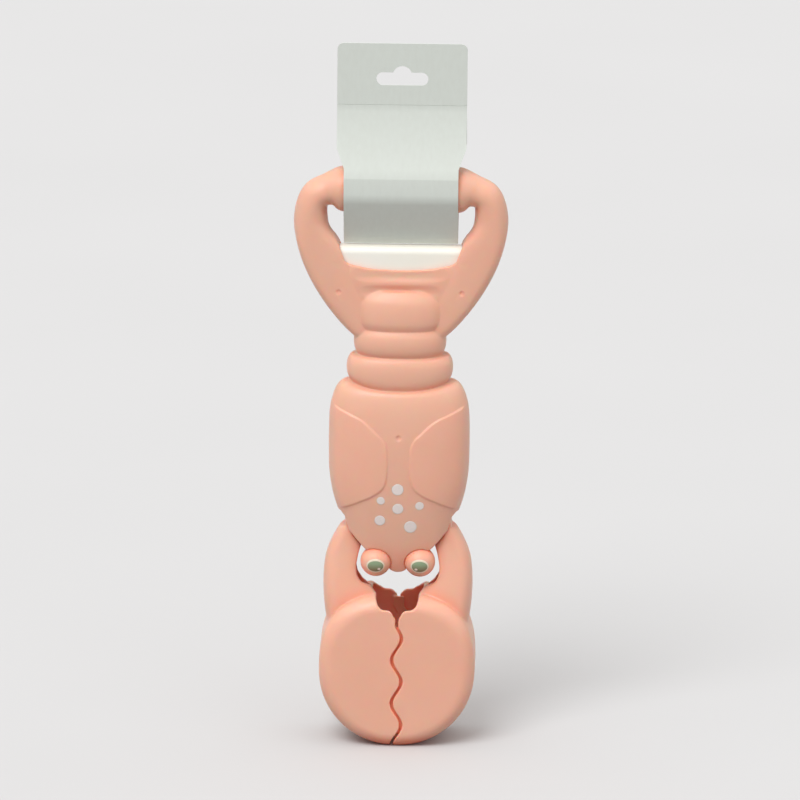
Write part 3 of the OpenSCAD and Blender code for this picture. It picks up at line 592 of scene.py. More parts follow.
class NodePen:
    """Draws one material's nodes on Object coordinates."""

    MIX_FACTOR = 0
    MIX_OFF = 6
    MIX_ON = 7
    MIX_RESULT = 2
    PAINTED_SHADE_SAMPLES = 6

    def __init__(self, name: str) -> None:
        """Starts a material with its shader.

        Args:
            name: name of the material.
        """
        self.material = bpy.data.materials.new(name)
        self.material.use_nodes = True
        self.nodes = self.material.node_tree.nodes
        self.links = self.material.node_tree.links
        self.shader = self.nodes["Principled BSDF"]
        self.place = self.nodes.new("ShaderNodeTexCoord").outputs["Object"]

    def set(self, socket: str, value: object) -> None:
        """Sets a socket of the shader."""
        self.shader.inputs[socket].default_value = value

    def noise(self, scale: float, detail: float,
              stretch: Triple = (1.0, 1.0, 1.0)) -> Socket:
        """Noise over the surface.

        Args:
            scale: noise cells in a metre.
            detail: number of finer layers.
            stretch: scale along each axis.

        Returns:
            The noise's value socket.
        """
        turn = self.nodes.new("ShaderNodeMapping")
        turn.inputs["Scale"].default_value = stretch
        self.links.new(self.place, turn.inputs["Vector"])
        node = self.nodes.new("ShaderNodeTexNoise")
        node.inputs["Scale"].default_value = scale
        node.inputs["Detail"].default_value = detail
        self.links.new(turn.outputs["Vector"], node.inputs["Vector"])
        return node.outputs["Fac"]

    def ramp_colour(self, value: Socket, low: Triple,
                    high: Triple, start: float, end: float) -> None:
        """Base colour that goes from low to high with the value.

        Args:
            value: the socket that the colour follows.
            low: colour at the start.
            high: colour at the end.
            start: value up to which the low colour holds.
            end: value from which the high colour holds.
        """
        node = self.nodes.new("ShaderNodeValToRGB")
        node.color_ramp.elements[0].position = start
        node.color_ramp.elements[0].color = (*low, 1.0)
        node.color_ramp.elements[1].position = end
        node.color_ramp.elements[1].color = (*high, 1.0)
        self.links.new(value, node.inputs["Fac"])
        self.links.new(node.outputs["Color"], self.shader.inputs["Base Color"])

    def ramp_roughness(self, value: Socket, low: float, high: float) -> None:
        """Roughness that goes from low to high with the value.

        Args:
            value: the socket that the roughness follows.
            low: roughness at 0.
            high: roughness at 1.
        """
        node = self.nodes.new("ShaderNodeMapRange")
        node.inputs["To Min"].default_value = low
        node.inputs["To Max"].default_value = high
        self.links.new(value, node.inputs["Value"])
        self.links.new(node.outputs["Result"], self.shader.inputs["Roughness"])

    def painted_hollow_shade(self, deep: Triple, reach: float) -> None:
        """Painted shade and painted red glow: the base colour turns to another in hollows and joints, where
        shade falls and light comes through the walls.

        Args:
            deep: painted colour in the hollows, for their shade and glow.
            reach: how near a wall has to be to count, in metres.
        """
        # occlusion mask that places the painted shade and glow in the hollows
        hollow = self.nodes.new("ShaderNodeAmbientOcclusion")
        hollow.samples = self.PAINTED_SHADE_SAMPLES
        hollow.inputs["Distance"].default_value = reach
        self.blended(hollow.outputs["AO"], deep)

    def blended(self, share: Socket, other: Triple) -> None:
        """Keeps the base colour where the share is 1 and takes another where it is 0.

        Args:
            share: the socket that holds the share.
            other: the other colour.
        """
        blend = self.nodes.new("ShaderNodeMix")
        blend.data_type = "RGBA"
        base = self.shader.inputs["Base Color"]
        self.links.new(share, blend.inputs[self.MIX_FACTOR])
        blend.inputs[self.MIX_OFF].default_value = (*other, 1.0)
        self.links.new(base.links[0].from_socket, blend.inputs[self.MIX_ON])
        self.links.new(blend.outputs[self.MIX_RESULT], base)

    def seen_only(self, other: Triple) -> None:
        """Keeps the base colour for what is seen, also in metal or glass, and takes another for the rest.

        Args:
            other: the other colour.
        """
        path = self.nodes.new("ShaderNodeLightPath").outputs
        seen = path["Is Camera Ray"]
        for ray in ("Is Glossy Ray", "Is Transmission Ray"):
            most = self.nodes.new("ShaderNodeMath")
            most.operation = "MAXIMUM"
            self.links.new(seen, most.inputs[0])
            self.links.new(path[ray], most.inputs[1])
            seen = most.outputs[0]
        self.blended(seen, other)

    def bump(self, value: Socket, strength: float, height: float) -> None:
        """Fine relief from the value.

        Args:
            value: the socket that the relief follows.
            strength: strength from 0 to 1.
            height: height of the relief, in metres.
        """
        node = self.nodes.new("ShaderNodeBump")
        node.inputs["Strength"].default_value = strength
        node.inputs["Distance"].default_value = height
        self.links.new(value, node.inputs["Height"])
        self.links.new(node.outputs["Normal"], self.shader.inputs["Normal"])


@dataclass
class Casing:
    """The two casing halves: carapace, tail rings, web and tail-fan loop. Sizes in millimetres."""

    pivot_x: float = 26.0
    pivot_z: float = 140.5
    snout_z: float = 106.5
    carapace_w: float = 87.4
    carapace_d: float = 48.0
    carapace_h: float = 124.0
    snout_solid: float = 17.0
    snout_w: float = 8.0
    snout_lift: float = 2.4
    apron_rise: float = 1.5
    wall: float = 2.4
    panel_step: float = 0.8
    panel_edge: float = 0.4
    skin_share: float = 0.88
    panel_fade: Pair = (0.88, 0.1)
    ring_heights: tuple[float, ...] = (16.5, 17.5, 24.0)
    ring_widths: tuple[float, ...] = (66.0, 57.4, 58.0)
    ring_d: float = 39.0
    groove: float = 1.4
    ring_dip: float = 4.4
    dip_share: float = 0.25
    ring_swell: float = 2.8
    square: float = 2.5
    limb_square: float = 3.4
    grip_square: float = 2.0
    web_square: float = 6.0
    loop_w: float = 131.4
    loop_z: float = 263.1
    loop_rise: float = 88.0
    limb_w: float = 20.0
    limb_d: float = 23.0
    grip_d: float = 29.0
    trigger_w: float = 80.0
    trigger_top: float = 315.6
    trigger_h: float = 22.0
    trigger_t: float = 15.0
    slot_foot: float = 0.66
    stroke: float = 8.0
    gap: float = 0.6
    cove_fade: float = 1.22
    eye: Triple = (13.7, -11.5, 116.4)
    eye_r: float = 9.5
    eye_free: float = 0.05
    boss_face: float = 10.8
    boss_r: float = 4.4
    pin_socket_r: float = 2.05
    pin_socket_end: float = 14.2
    knuckle_r: float = 6.8
    arm_w: float = 20.0
    window_corner: float = 3.0
    post_r: float = 4.1
    well_r: float = 2.9
    shank_hole_r: float = 1.6
    head_seat: float = 4.0
    tag_neck_w: float = 70.6
    limb_screw: Pair = (0.58, 0.283)
    grip_screw: float = 0.57
    back_screw: float = 0.73
    sink_depth: float = 0.6
    sink_r: float = 1.0
    sink_edge: float = 0.8
    sink_front: float = -8.0
    sink_lifts: tuple[float, ...] = (0.0, 0.0, 1.5)
    voxel: float = 0.55
    most_triangles: int = 190000

    CARAPACE = ((0.00, 0.60, 0.41), (0.08, 0.68, 0.585), (0.16, 0.75, 0.72), (0.24, 0.80, 0.81),
                (0.29, 0.833, 0.857), (0.33, 0.862, 0.89), (0.39, 0.917, 0.933), (0.45, 0.957, 0.966),
                (0.54, 0.992, 0.992), (0.64, 1, 1), (0.73, 1, 1), (0.83, 0.992, 0.97), (0.89, 0.966, 0.94),
                (0.945, 0.915, 0.89), (0.978, 0.855, 0.84), (0.994, 0.79, 0.79))
    RING = ((0.03, 0), (0.1, 0.4), (0.27, 0.84), (0.5, 1), (0.73, 0.84), (0.9, 0.4), (0.97, 0))
    DOME = ((0.03, 0.90, 0.86), (0.18, 0.97, 0.91), (0.45, 1, 0.90), (0.7, 0.99, 0.84), (0.87, 0.93, 0.74),
            (1, 0.78, 0.62))
    APRON = ((0.82, 1), (0.5, 0.555), (0.26, 0.27))
    SNOUT = ((0.5, 1.5), (0.25, 1.125))
    PANEL = ((0.925, 0.885), (0.70, 0.852), (0.5, 0.82), (0.31, 0.76), (0.21, 0.722), (0.165, 0.665),
             (0.165, 0.548), (0.205, 0.487), (0.33, 0.443), (0.55, 0.402), (0.78, 0.36))
    LOOP = ((0.20, -0.04, 0, 0), (0.41, 0.09, 0, 0.3), (0.615, 0.283, 0, 0.5), (0.764, 0.489, 0, 0.46),
            (0.842, 0.682, 0, 0.12), (0.853, 0.818, 0, 0.04), (0.80, 0.94, 0, -0.06),
            (0.69, 0.988, 0.08, -0.05), (0.55, 1, 0.93, 0), (0.27, 1, 1, 0), (0, 1, 1, 0))
    WEB = ((-0.04, 0.42, 0.97), (0.15, 0.47, 0.97), (0.29, 0.56, 0.97), (0.40, 0.60, 0.97),
           (0.46, 0.60, 0.90), (0.50, 0.59, 0.80), (0.53, 0.56, 0.72))
    OPENING = ((0.4, 0.40), (0.65, 0.475), (0.80, 0.545), (0.8625, 0.627), (0.945, 1.05), (1.07, 1.47),
               (1.095, 1.85))
    OPENING_LOW = 0.375
    COVE = ((-0.44, 0.60, 0.99), (-0.30, 0.625, 0.865), (-0.19, 0.625, 0.855), (-0.11, 0.625, 0.89),
            (-0.05, 0.63, 0.945), (0.03, 0.65, 0.945), (0.10, 0.68, 0.89), (0.18, 0.715, 0.82),
            (0.28, 0.76, 0.795), (0.42, 0.83, 0.79), (0.60, 0.92, 0.79))

    def tops(self) -> tuple[float, float, float, float]:
        """Heights of the carapace's top and of the three rings' tops.

        Returns:
            The four heights, from below.
        """
        first = self.snout_z + self.carapace_h
        second = first + self.ring_heights[0]
        third = second + self.ring_heights[1]
        return first, second, third, third + self.ring_heights[2]

    def trunk_rows(self) -> np.ndarray:
        """Height, half width and half depth of the carapace and the rings.

        Returns:
            An array of rows by 3, from the snout up.
        """
        first, second, third, _ = self.tops()
        rows = [smooth_rows([(self.snout_z + s[0] * self.carapace_h, s[1] * self.carapace_w / 2,
                              s[2] * self.carapace_d / 2) for s in self.CARAPACE], steps=10)]
        for foot, height, width, depth in ((first, self.ring_heights[0], self.ring_widths[0], self.ring_d),
                                           (second, self.ring_heights[1], self.ring_widths[1],
                                            self.ring_d - self.groove)):
            rows.append(smooth_rows([(foot + s[0] * height, width / 2 - self.ring_swell * (1 - s[1]),
                                      depth / 2 - self.ring_swell * (1 - s[1])) for s in self.RING], steps=8))
        rows.append(smooth_rows([(third + s[0] * self.ring_heights[2], s[1] * self.ring_widths[2] / 2,
                                  s[2] * self.ring_d / 2) for s in self.DOME], steps=8))
        return np.concatenate(rows)

    def dip(self, z: float) -> float:
        """How far the carapace's top edge dips at the front and back.

        Args:
            z: height of a ring.

        Returns:
            How far that ring dips.
        """
        top = self.snout_z + self.carapace_h
        below = self.dip_share * self.carapace_h
        run = (z - top) / self.ring_heights[0] if z > top else (top - z) / below
        return self.ring_dip * (1 - ease(run))

    def trunk_ring(self, row: np.ndarray, inset: float, sides: int) -> np.ndarray:
        """One ring of the trunk at a row.

        Args:
            row: its height, half width and half depth.
            inset: how far it is drawn in.
            sides: number of points.

        Returns:
            An array of points by 3.
        """
        flat = oval(row[1] - inset, row[2] - inset, self.square, sides)
        turn = np.arange(sides) * 2 * math.pi / sides
        return np.column_stack([flat, row[0] - self.dip(row[0]) * np.sin(turn) ** 2])

    def trunk(self) -> Solid:
        """The trunk's outer form."""
        return Solid.loft(np.array([self.trunk_ring(r, inset=0.0, sides=240) for r in self.trunk_rows()]))

    def panelled(self, solid: Solid) -> Solid:
        """Raises the side panels of the front half, fading out towards its sides.

        Args:
            solid: the softened front half.

        Returns:
            The same solid.
        """
        p = solid.points()
        rows = self.trunk_rows()
        half = np.stack([np.interp(p[:, 2], rows[:, 0], rows[:, k]) for k in (1, 2)], -1)
        slope = np.sign(p[:, :2]) * np.abs(p[:, :2] / half) ** (self.square - 1) / half
        slope /= np.linalg.norm(slope, axis=-1, keepdims=True) + 1e-9
        skin = (np.abs(p[:, :2] / half) ** self.square).sum(-1) > self.skin_share
        here = skin & (p[:, 2] < self.snout_z + self.carapace_h)
        start, run = self.panel_fade
        fade = 1 - ease((np.abs(p[:, 0]) / half[:, 0] - start) / run)
        p[:, :2] += slope * (self.panel_step * np.where(here, self.panel_share(p) * fade, 0.0))[:, None]
        return solid.moved(p)

    def panel_share(self, points: np.ndarray) -> np.ndarray:
        """How far each point stands on a raised panel, from 0 to 1.

        Args:
            points: an array of points by 3.

        Returns:
            The share of each point.
        """
        edge = smooth_rows([(s[0] * self.carapace_w / 2, self.snout_z + s[1] * self.carapace_h)
                            for s in self.PANEL], steps=6)
        outer = np.array([[self.carapace_w, edge[-1][1]], [self.carapace_w, edge[0][1]]])
        loop = np.concatenate([edge, outer])
        x, z = np.abs(points[..., 0]), points[..., 2]
        away = np.full(x.shape, 1e9)
        inside = np.zeros(x.shape, bool)
        for (x0, z0), (x1, z1) in zip(loop, np.roll(loop, -1, axis=0)):
            dx, dz = x1 - x0, z1 - z0
            t = np.clip(((x - x0) * dx + (z - z0) * dz) / (dx * dx + dz * dz), 0, 1)
            away = np.minimum(away, np.hypot(x - x0 - t * dx, z - z0 - t * dz))
            crosses = (z0 > z) != (z1 > z)
            if dz:
                inside ^= crosses & (x < x0 + (z - z0) * dx / dz)
        share = ease(0.5 + np.where(inside, away, -away) / (2 * self.panel_edge))
        return np.where(points[..., 1] < -1, share, 0.0)

    def trunk_hollow(self) -> Solid:
        """The hollow of the trunk, above the solid snout.

        Returns:
            The room to cut away.
        """
        low, high = self.snout_z + self.snout_solid, self.tops()[3] - self.wall
        rows = [r for r in self.trunk_rows() if low < r[0] < high]
        return Solid.loft(np.array([self.trunk_ring(r, self.wall, sides=120) for r in rows]))

    def loop(self, inset: float, sides: int) -> Solid:
        """The tail-fan loop, or its hollow.

        Args:
            inset: how far it is drawn in, 0 for the outer form.
            sides: points round a ring.

        Returns:
            The loop.
        """
        half = []
        for s in self.LOOP:
            w, d = (mix(size, self.grip_d, s[2]) / 2 - inset for size in (self.limb_w, self.limb_d))
            half.append((s[0] * self.loop_w / 2, self.loop_z + s[1] * self.loop_rise, w, d,
                         w + s[3] * self.limb_w))
        right = smooth_rows(half, steps=10)
        left = right[-2::-1] * np.array([-1, 1, 1, 1, 1])
        rows = np.concatenate([right, left])
        round_share = ease((rows[:, 1] - self.trigger_top) / self.limb_w)[:, None, None]
        square, plain = (path_rings(rows, n, sides) for n in (self.limb_square, self.grip_square))
        return Solid.loft(mix(square, plain, round_share))

    def web(self) -> Solid:
        """The web that joins the limbs under the trigger.

        Returns:
            The web.
        """
        sides = 96
        rows = smooth_rows([(self.loop_z + s[0] * self.loop_rise, s[1] * self.loop_w / 2,
                             s[2] * self.limb_d / 2) for s in self.WEB], steps=8)
        return Solid.loft(np.array([np.column_stack([oval(w, d, self.web_square, sides), np.full(sides, z)])
                                    for z, w, d in rows]))

    def tail(self) -> Solid:
        """The loop and the web under the trigger, with its cove, lip and curved edge.

        Returns:
            The tail's outer form.
        """
        low, wide, deep = self.trigger_top - self.trigger_h, self.trigger_w / 2, self.limb_d
        right = [(s[0] * wide, low + s[1] * self.trigger_h) for s in self.OPENING]
        left = [(-x, z) for x, z in right[::-1]]
        middle = (0.0, low + self.OPENING_LOW * self.trigger_h)
        floor = smooth_rows([*left[-3:], middle, *right[:3]], steps=8)
        opening = Solid.prism_y(np.concatenate([left[:-3], floor, right[3:]]), -deep, deep)
        cove = smooth_rows([(low + s[0] * self.trigger_h, self.cove_fade * s[1] * wide, s[2] * deep / 2)
                            for s in self.COVE], steps=6)
        across = np.linspace(-1.0, 1.0, 33)
        rings = np.array([[*((w * u, -mix(d, deep / 2, u * u), z) for u in across),
                           (w, -deep, z), (-w, -deep, z)] for z, w, d in cove])
        solid = self.loop(inset=0.0, sides=64).plus(self.web()).minus(opening)
        return solid.minus(Solid.loft(rings)).minus(Solid.loft(rings * np.array([1, -1, 1])))

    def outer(self) -> Solid:
        """The whole outer form."""
        return self.trunk().plus(self.tail())

    def half_space(self, side: int) -> Solid:
        """Everything in front of (-1) or behind (1) the parting plane.

        Args:
            side: -1 or 1.

        Returns:
            A large box on that side.
        """
        reach = 600.0
        low, high = (-reach, 0.0) if side < 0 else (0.0, reach)
        return Solid.box((-reach, low, -reach), (reach, high, reach))

    def trigger_slot(self) -> Solid:
        """Slot that the trigger slides in.

        Returns:
            The room to cut away.
        """
        foot = self.trigger_top - self.trigger_h - self.stroke - OVERRUN
        bend = self.trigger_top - self.trigger_h / 2 - self.stroke
        wide, top = self.trigger_w / 2 + self.gap, self.trigger_top + self.gap / 3
        narrow = self.slot_foot * wide + self.gap
        half = self.trigger_t / 2 + self.gap
        shape = np.array([[-narrow, foot], [narrow, foot], [wide, bend], [wide, top], [-wide, top],
                          [-wide, bend]])
        return Solid.prism_y(shape, -half, half)

    def apron_cuts(self) -> Solid:
        """Room below the V of the apron, on both sides.

        Returns:
            The room to cut away.
        """
        top = self.pivot_z + self.apron_rise - self.snout_z
        edge = [(s[0] * self.carapace_w / 2, self.snout_z + s[1] * top) for s in self.APRON]
        low = self.snout_z - OVERRUN
        tip = [(self.snout_w * a, self.snout_z + self.snout_lift * b) for a, b in self.SNOUT]
        under = self.snout_z + self.snout_lift
        points = [(self.carapace_w, edge[0][1]), *edge, *tip, (-OVERRUN, under), (-OVERRUN, low),
                  (self.carapace_w, low)]
        cut = Solid.prism_y(np.array(points), -self.carapace_d, self.carapace_d)
        other = Solid.prism_y(np.array(points) * np.array([-1, 1]), -self.carapace_d, self.carapace_d)
        return cut.plus(other)

    def shoulder_windows(self) -> Solid:
        """Windows in the sides for the swinging shoulders.

        Returns:
            The room to cut away.
        """
        foot, top = self.pivot_z - self.arm_w, self.pivot_z + self.knuckle_r + self.gap
        half = self.boss_face + self.gap
        inner, corner = half - self.window_corner, top - self.window_corner
        shape = np.array([[-half, foot], [half, foot], [half, corner], [inner, top], [-inner, top],
                          [-half, corner]])
        right = Solid.prism_x(shape, self.pivot_x, self.carapace_w)
        return right.beside(Solid.prism_x(shape, -self.carapace_w, -self.pivot_x))

    def screw_places(self) -> list[Pair]:
        """Where the case screws stand, as x and z.

        Returns:
            Two places in the limbs, two in the carapace and two in the grip.
        """
        x, z = self.limb_screw[0] * self.loop_w / 2, self.loop_z + self.limb_screw[1] * self.loop_rise
        grip_x, grip_z = self.grip_screw * self.tag_neck_w / 2, self.loop_z + self.loop_rise
        back_z, snout_z = self.snout_z + self.back_screw * self.carapace_h, self.snout_z + self.snout_solid
        return [(x, z), (-x, z), (0.0, back_z), (0.0, snout_z), (grip_x, grip_z), (-grip_x, grip_z)]

    def bosses(self, side: int) -> Solid:
        """Screw posts and pivot bosses of one half, reaching to its wall.

        Args:
            side: -1 for the front half, 1 for the back half.

        Returns:
            The posts and bosses.
        """
        far = side * self.carapace_d
        posts = [Solid.rod_y(x, z, self.post_r, *sorted((0.0, far))) for x, z in self.screw_places()]
        posts += [Solid.rod_y(x, self.pivot_z, self.boss_r, *sorted((side * self.boss_face, far)))
                  for x in (-self.pivot_x, self.pivot_x)]
        return posts[0].beside(*posts[1:]).within(self.outer()).within(self.half_space(side))

    def half(self, side: int) -> Solid:
        """One half of the casing.

        Args:
            side: -1 for the front half, 1 for the back half.

        Returns:
            The half before its edges are softened.
        """
        shell = self.outer().minus(self.trunk_hollow()).minus(self.loop(self.wall, sides=48))
        shell = shell.minus(self.trigger_slot()).minus(self.shoulder_windows()).within(self.half_space(side))
        shell = shell.plus(self.bosses(side)).minus(self.apron_cuts())
        end = self.pin_socket_end
        pins = [Solid.rod_y(x, self.pivot_z, self.pin_socket_r, -end, end)
                for x in (-self.pivot_x, self.pivot_x)]
        shell = shell.minus(pins[0].beside(pins[1]))
        if side < 0:
            x, y, z = self.eye
            for s in (-1, 1):
                shell = shell.minus(Solid.ball((s * x, y, z), self.eye_r + self.eye_free))
            return shell
        for r, low, high in ((self.well_r, self.head_seat, self.carapace_d),
                             (self.shank_hole_r, -OVERRUN, self.head_seat + OVERRUN)):
            holes = [Solid.rod_y(x, z, r, low, high) for x, z in self.screw_places()]
            shell = shell.minus(holes[0].beside(*holes[1:]))
        return shell

    def dimpled(self, solid: Solid) -> Solid:
        """Adds the shallow sink marks over the screw posts of the front half.

        Args:
            solid: the softened front half.

        Returns:
            The same solid.
        """
        p = solid.points()
        for (x, z), lift in zip(self.screw_places(), self.sink_lifts):
            away = np.hypot(p[:, 0] - x, p[:, 2] - z - lift)
            share = 1 - ease((away - self.sink_r) / self.sink_edge)
            p[:, 1] += np.where(p[:, 1] < self.sink_front, self.sink_depth * share, 0.0)
        return solid.moved(p)

    def build(self, finish: Material) -> None:
        """Makes both halves and sets them in place of the CAD halves.

        Args:
            finish: the plastic.
        """
        for side, name in ((-1, "front_shell"), (1, "back_shell")):
            solid = self.half(side).softened(self.voxel, passes=3)
            if side < 0:
                solid = self.dimpled(self.panelled(solid))
            show(solid.thinned(self.most_triangles), name + "_moulding", finish, Body.CASING, Slot.PINK, name)


def hull(points: np.ndarray) -> np.ndarray:
    """Convex outline round points in a plane.

    Args:
        points: an array of points by 2.

    Returns:
        The outline's points, in order.
    """
    p = sorted(map(tuple, np.asarray(points, float)))

    def chain(seq: Sequence[Pair]) -> list[Pair]:
        """One side of the outline.

        Args:
            seq: the points in order along one axis.

        Returns:
            The points of that side.
        """
        out: list[Pair] = []
        for q in seq:
            while len(out) > 1 and ((out[-1][0] - out[-2][0]) * (q[1] - out[-2][1])
                                    - (out[-1][1] - out[-2][1]) * (q[0] - out[-2][0])) <= 0:
                out.pop()
            out.append(q)
        return out

    return np.array(chain(p)[:-1] + chain(p[::-1])[:-1])


@dataclass
class Claw:
    """One scoop claw with its arm, knuckle and inner lever. Sizes in millimetres, for the right side."""

    pivot_x: float
    pivot_z: float
    knuckle_r: float
    arm_w: float
    width: float = 97.0
    height: float = 97.0
    depth: float = 54.0
    edge_r: float = 9.0
    wall: float = 2.4
    foot_cut: float = 0.5
    top_square: float = 2.6
    foot_square: float = 2.05
    wave_swing: float = 3.0
    wave_len: float = 28.0
    wave_shift: float = 5.5
    wave_top: float = 0.881
    bite_gap: float = 1.8
    sill: float = 88.0
    mouth_w: float = 23.0
    arm_rise: float = 44.0
    arm_d: float = 32.0
    arm_square: float = 2.6
    arm_root: Pair = (0.665, 0.70)
    arm_bow: Pair = (0.89, 0.39)
    arm_thin: float = 0.66
    arm_fill: Pair = (20.0, 8.0)
    channel_end: float = 0.84
    relief_depth: float = 0.76
    shoulder_d: float = 21.0
    swing: float = 23.074
    swing_free: float = 0.3
    lever_r: float = 6.5
    lever_tip_r: float = 3.9
    lever_pin: Pair = (6.404, 144.5)
    lever_pin_r: float = 1.5
    lever_pin_free: float = 0.05
    cheek: Pair = (2.3, 5.3)
    lip_low: float = 0.085
    lip_free: float = 0.3
    lip_reach: Pair = (-4.5, 2.2)
    lip_t: float = 1.2
    lip_back_rise: float = 0.075
    pin_hole_r: float = 2.3
    bush_r: float = 3.425
    bush_h: float = 7.0
    voxel: float = 0.55
    most_triangles: int = 150000

    NOTCH = ((0.087, 0.9375), (0.19, 0.961), (0.28, 0.984))
    BACK_NOTCH = ((0.087, 0.96), (0.16, 0.973), (0.27, 0.989))
    MOUTH = ((0.45, 1.001), (0.70, 1.004), (0.82, 1.009), (0.94, 1.02), (1.05, 1.038), (1.11, 1.06),
             (1.19, 1.082), (1.33, 1.106), (1.50, 1.133))
    BACK_MOUTH = ((0, 0.985), (0.31, 1.008), (0.66, 1.013), (1.09, 1.03), (1.47, 1.075), (1.95, 1.125),
                  (2.21, 1.18), (2.3, 1.24), (2.3, 1.3), (0, 1.3))
    ARM_EDGE = ((0.741, 0.134), (0.87, 0.19), (0.945, 0.2545), (0.98, 0.368), (0.93, 0.484), (0.87, 0.575),
                (0.785, 0.66), (0.66, 0.761))
    ARM_TURNS = ((0.55, 0.45), (0.2, 0.65), (0.2, 0.3), (0.72, 0.2))
    RELIEF = ((0.735, 0.648), (1.33, 0.902), (1.62, 1.02), (0.6, 1.02), (0.45, 0.7))

    def top(self) -> float:
        """Height of the scoop's top."""
        return self.height - self.foot_cut

    def outline(self, inset: float) -> np.ndarray:
        """Outline of the shut pair of scoops.

        Args:
            inset: how far it is drawn in.

        Returns:
            An array of points by 2, as x and z.
        """
        sides = 240
        half = (self.width / 2 - inset, self.height / 2 - inset)
        upper, lower = (oval(*half, square, sides) for square in (self.top_square, self.foot_square))
        middle = self.height / 2 - self.foot_cut
        return np.where(upper[:, 1:] > 1e-9, upper, lower) + np.array([0.0, middle])

    def scoop(self, inset: float) -> Solid:
        """The closed drum of both scoops, with soft edges.

        Args:
            inset: how far it is drawn in, 0 for the outer form.

        Returns:
            The drum.
        """
        half, edge, steps = self.depth / 2 - inset, self.edge_r - inset, 12
        turn = np.linspace(0, math.pi / 2, steps)
        front = np.stack([edge * (1 - np.cos(turn)) - half, edge * (1 - np.sin(turn))], -1)
        stations = np.concatenate([front, front[::-1] * np.array([-1, 1])])
        return Solid.loft(np.array([np.insert(self.outline(inset + drawn), 1, y, axis=1)
                                    for y, drawn in stations]))

    def arm_point(self, t: float) -> np.ndarray:
        """Point on the arm's bowed centre line, from the scoop at 0 to the pivot at 1.

        Args:
            t: share of the way.

        Returns:
            The point's x and z.
        """
        root = np.array([self.arm_root[0] * self.width / 2, self.arm_root[1] * self.height])
        bow = np.array([self.arm_bow[0] * self.width / 2, self.top() + self.arm_bow[1] * self.arm_rise])
        end = np.array([self.pivot_x, self.pivot_z])
        return root * (1 - t) ** 2 + bow * 2 * t * (1 - t) + end * t * t

    def arm_row(self, t: float, inset: float) -> list[float]:
        """Place, outer half width, half depth and inner half width of the arm.

        Args:
            t: share of the way from the scoop to the pivot.
            inset: how far it is drawn in.

        Returns:
            The row, as path_rings takes it.
        """
        thin, shallow, filled, bare = (ease((t - start) / run) for start, run in self.ARM_TURNS)
        half = mix(self.arm_w, self.arm_thin * self.arm_w, thin) / 2
        deep = mix(self.arm_d, self.shoulder_d, shallow) / 2
        inner = half + mix(*self.arm_fill, filled) * (1 - bare)
        return [*self.arm_point(t), half - inset, deep - inset, inner - inset]

    def arm(self) -> Solid:
        """The outer form of the arm.

        Returns:
            The arm, with room for the casing at every angle of its swing.
        """
        rows = np.array([self.arm_row(t, inset=0.0) for t in np.linspace(0, 1, 56)])
        solid = Solid.loft(path_rings(rows, self.arm_square, sides=64))
        low, high, half = self.knuckle_r + self.swing_free, self.swing_free, self.depth / 2
        turns = 4
        for k in range(turns + 1):
            a = math.radians(self.swing * k / turns)
            c, s = math.cos(a), math.sin(a)
            room = Solid.box((low, -half, high), (low + self.arm_w, half, high + self.arm_w))
            x, y, z = room.points().T
            place = [x * c + z * s + self.pivot_x, y, z * c - x * s + self.pivot_z]
            solid = solid.minus(room.moved(np.stack(place, -1)))
        step = np.array([self.arm_side(s) for s in self.RELIEF])
        near = self.relief_depth * self.shoulder_d / 2
        for ends in ((-self.depth, -near), (near, self.depth)):
            solid = solid.minus(Solid.prism_y(step, *ends))
        return solid

    def arm_side(self, share: Pair) -> Pair:
        """Place beside the arm, from shares of the mouth's edge to the arm and of the arm's rise."""
        reach = self.arm_point(0.5)[0] - self.arm_w / 2
        return mix(self.mouth_w / 2, reach, share[0]), self.top() + share[1] * self.arm_rise

    def arm_channel(self) -> Solid:
        """The hollow of the arm, below the knuckle."""
        rows = np.array([self.arm_row(self.channel_end * t, self.wall) for t in np.linspace(0, 1, 40)])
        return Solid.loft(path_rings(rows, self.arm_square, sides=64)).minus(self.knuckle())

    def knuckle(self) -> Solid:
        """The round shoulder about the pivot."""
        half = self.shoulder_d / 2
        return Solid.rod_y(self.pivot_x, self.pivot_z, self.knuckle_r, -half, half)

    def wave(self, phase: int, low: float, shift: float, rise: float = 0.0) -> np.ndarray:
        """Points along the wavy edge, from a height to the mouth or on above it.

        Args:
            phase: 1 or -1, the side that the wave starts to.
            low: height of the first point.
            shift: how far it is moved along X.
            rise: how far it goes on straight above the wave.

        Returns:
            An array of points by 2, as x and z.
        """
        top = self.wave_top * self.sill
        z = np.linspace(low, top + rise, 160)
        middle = self.height / 2 - self.foot_cut
        x = phase * self.wave_swing * np.cos(2 * math.pi * (z - middle + self.wave_shift) / self.wave_len)
        return np.stack([np.where(z > top, 0.0, x) + self.bite_gap / 2 + shift, z], -1)

    def bite(self, phase: int) -> Solid:
        """Room beyond the wavy biting edge, the mouth and the arm's inner edge.

        Args:
            phase: 1 or -1, the side that the wave starts to.

        Returns:
            The room to cut away.
        """
        wave = self.wave(phase, -OVERRUN, 0.0)
        rooms = []
        for notch, ends in ((self.NOTCH, (-self.depth, 0.0)), (self.BACK_NOTCH, (-OVERRUN, self.depth))):
            edge = [(s[0] * self.mouth_w / 2, s[1] * self.sill) for s in (*notch, *self.MOUTH)]
            edge = smooth_rows([wave[-1], *edge, *[self.arm_side(s) for s in self.ARM_EDGE]], steps=8)[1:]
            end = [(edge[-1][0], self.pivot_z), (-self.width, self.pivot_z), (-self.width, -OVERRUN)]
            rooms.append(Solid.prism_y(np.concatenate([wave, edge, end]), *ends))
        back = np.array([(s[0] * self.mouth_w / 2, s[1] * self.sill) for s in self.BACK_MOUTH])
        return rooms[0].plus(rooms[1]).plus(Solid.prism_y(back, 0.0, self.depth + OVERRUN))

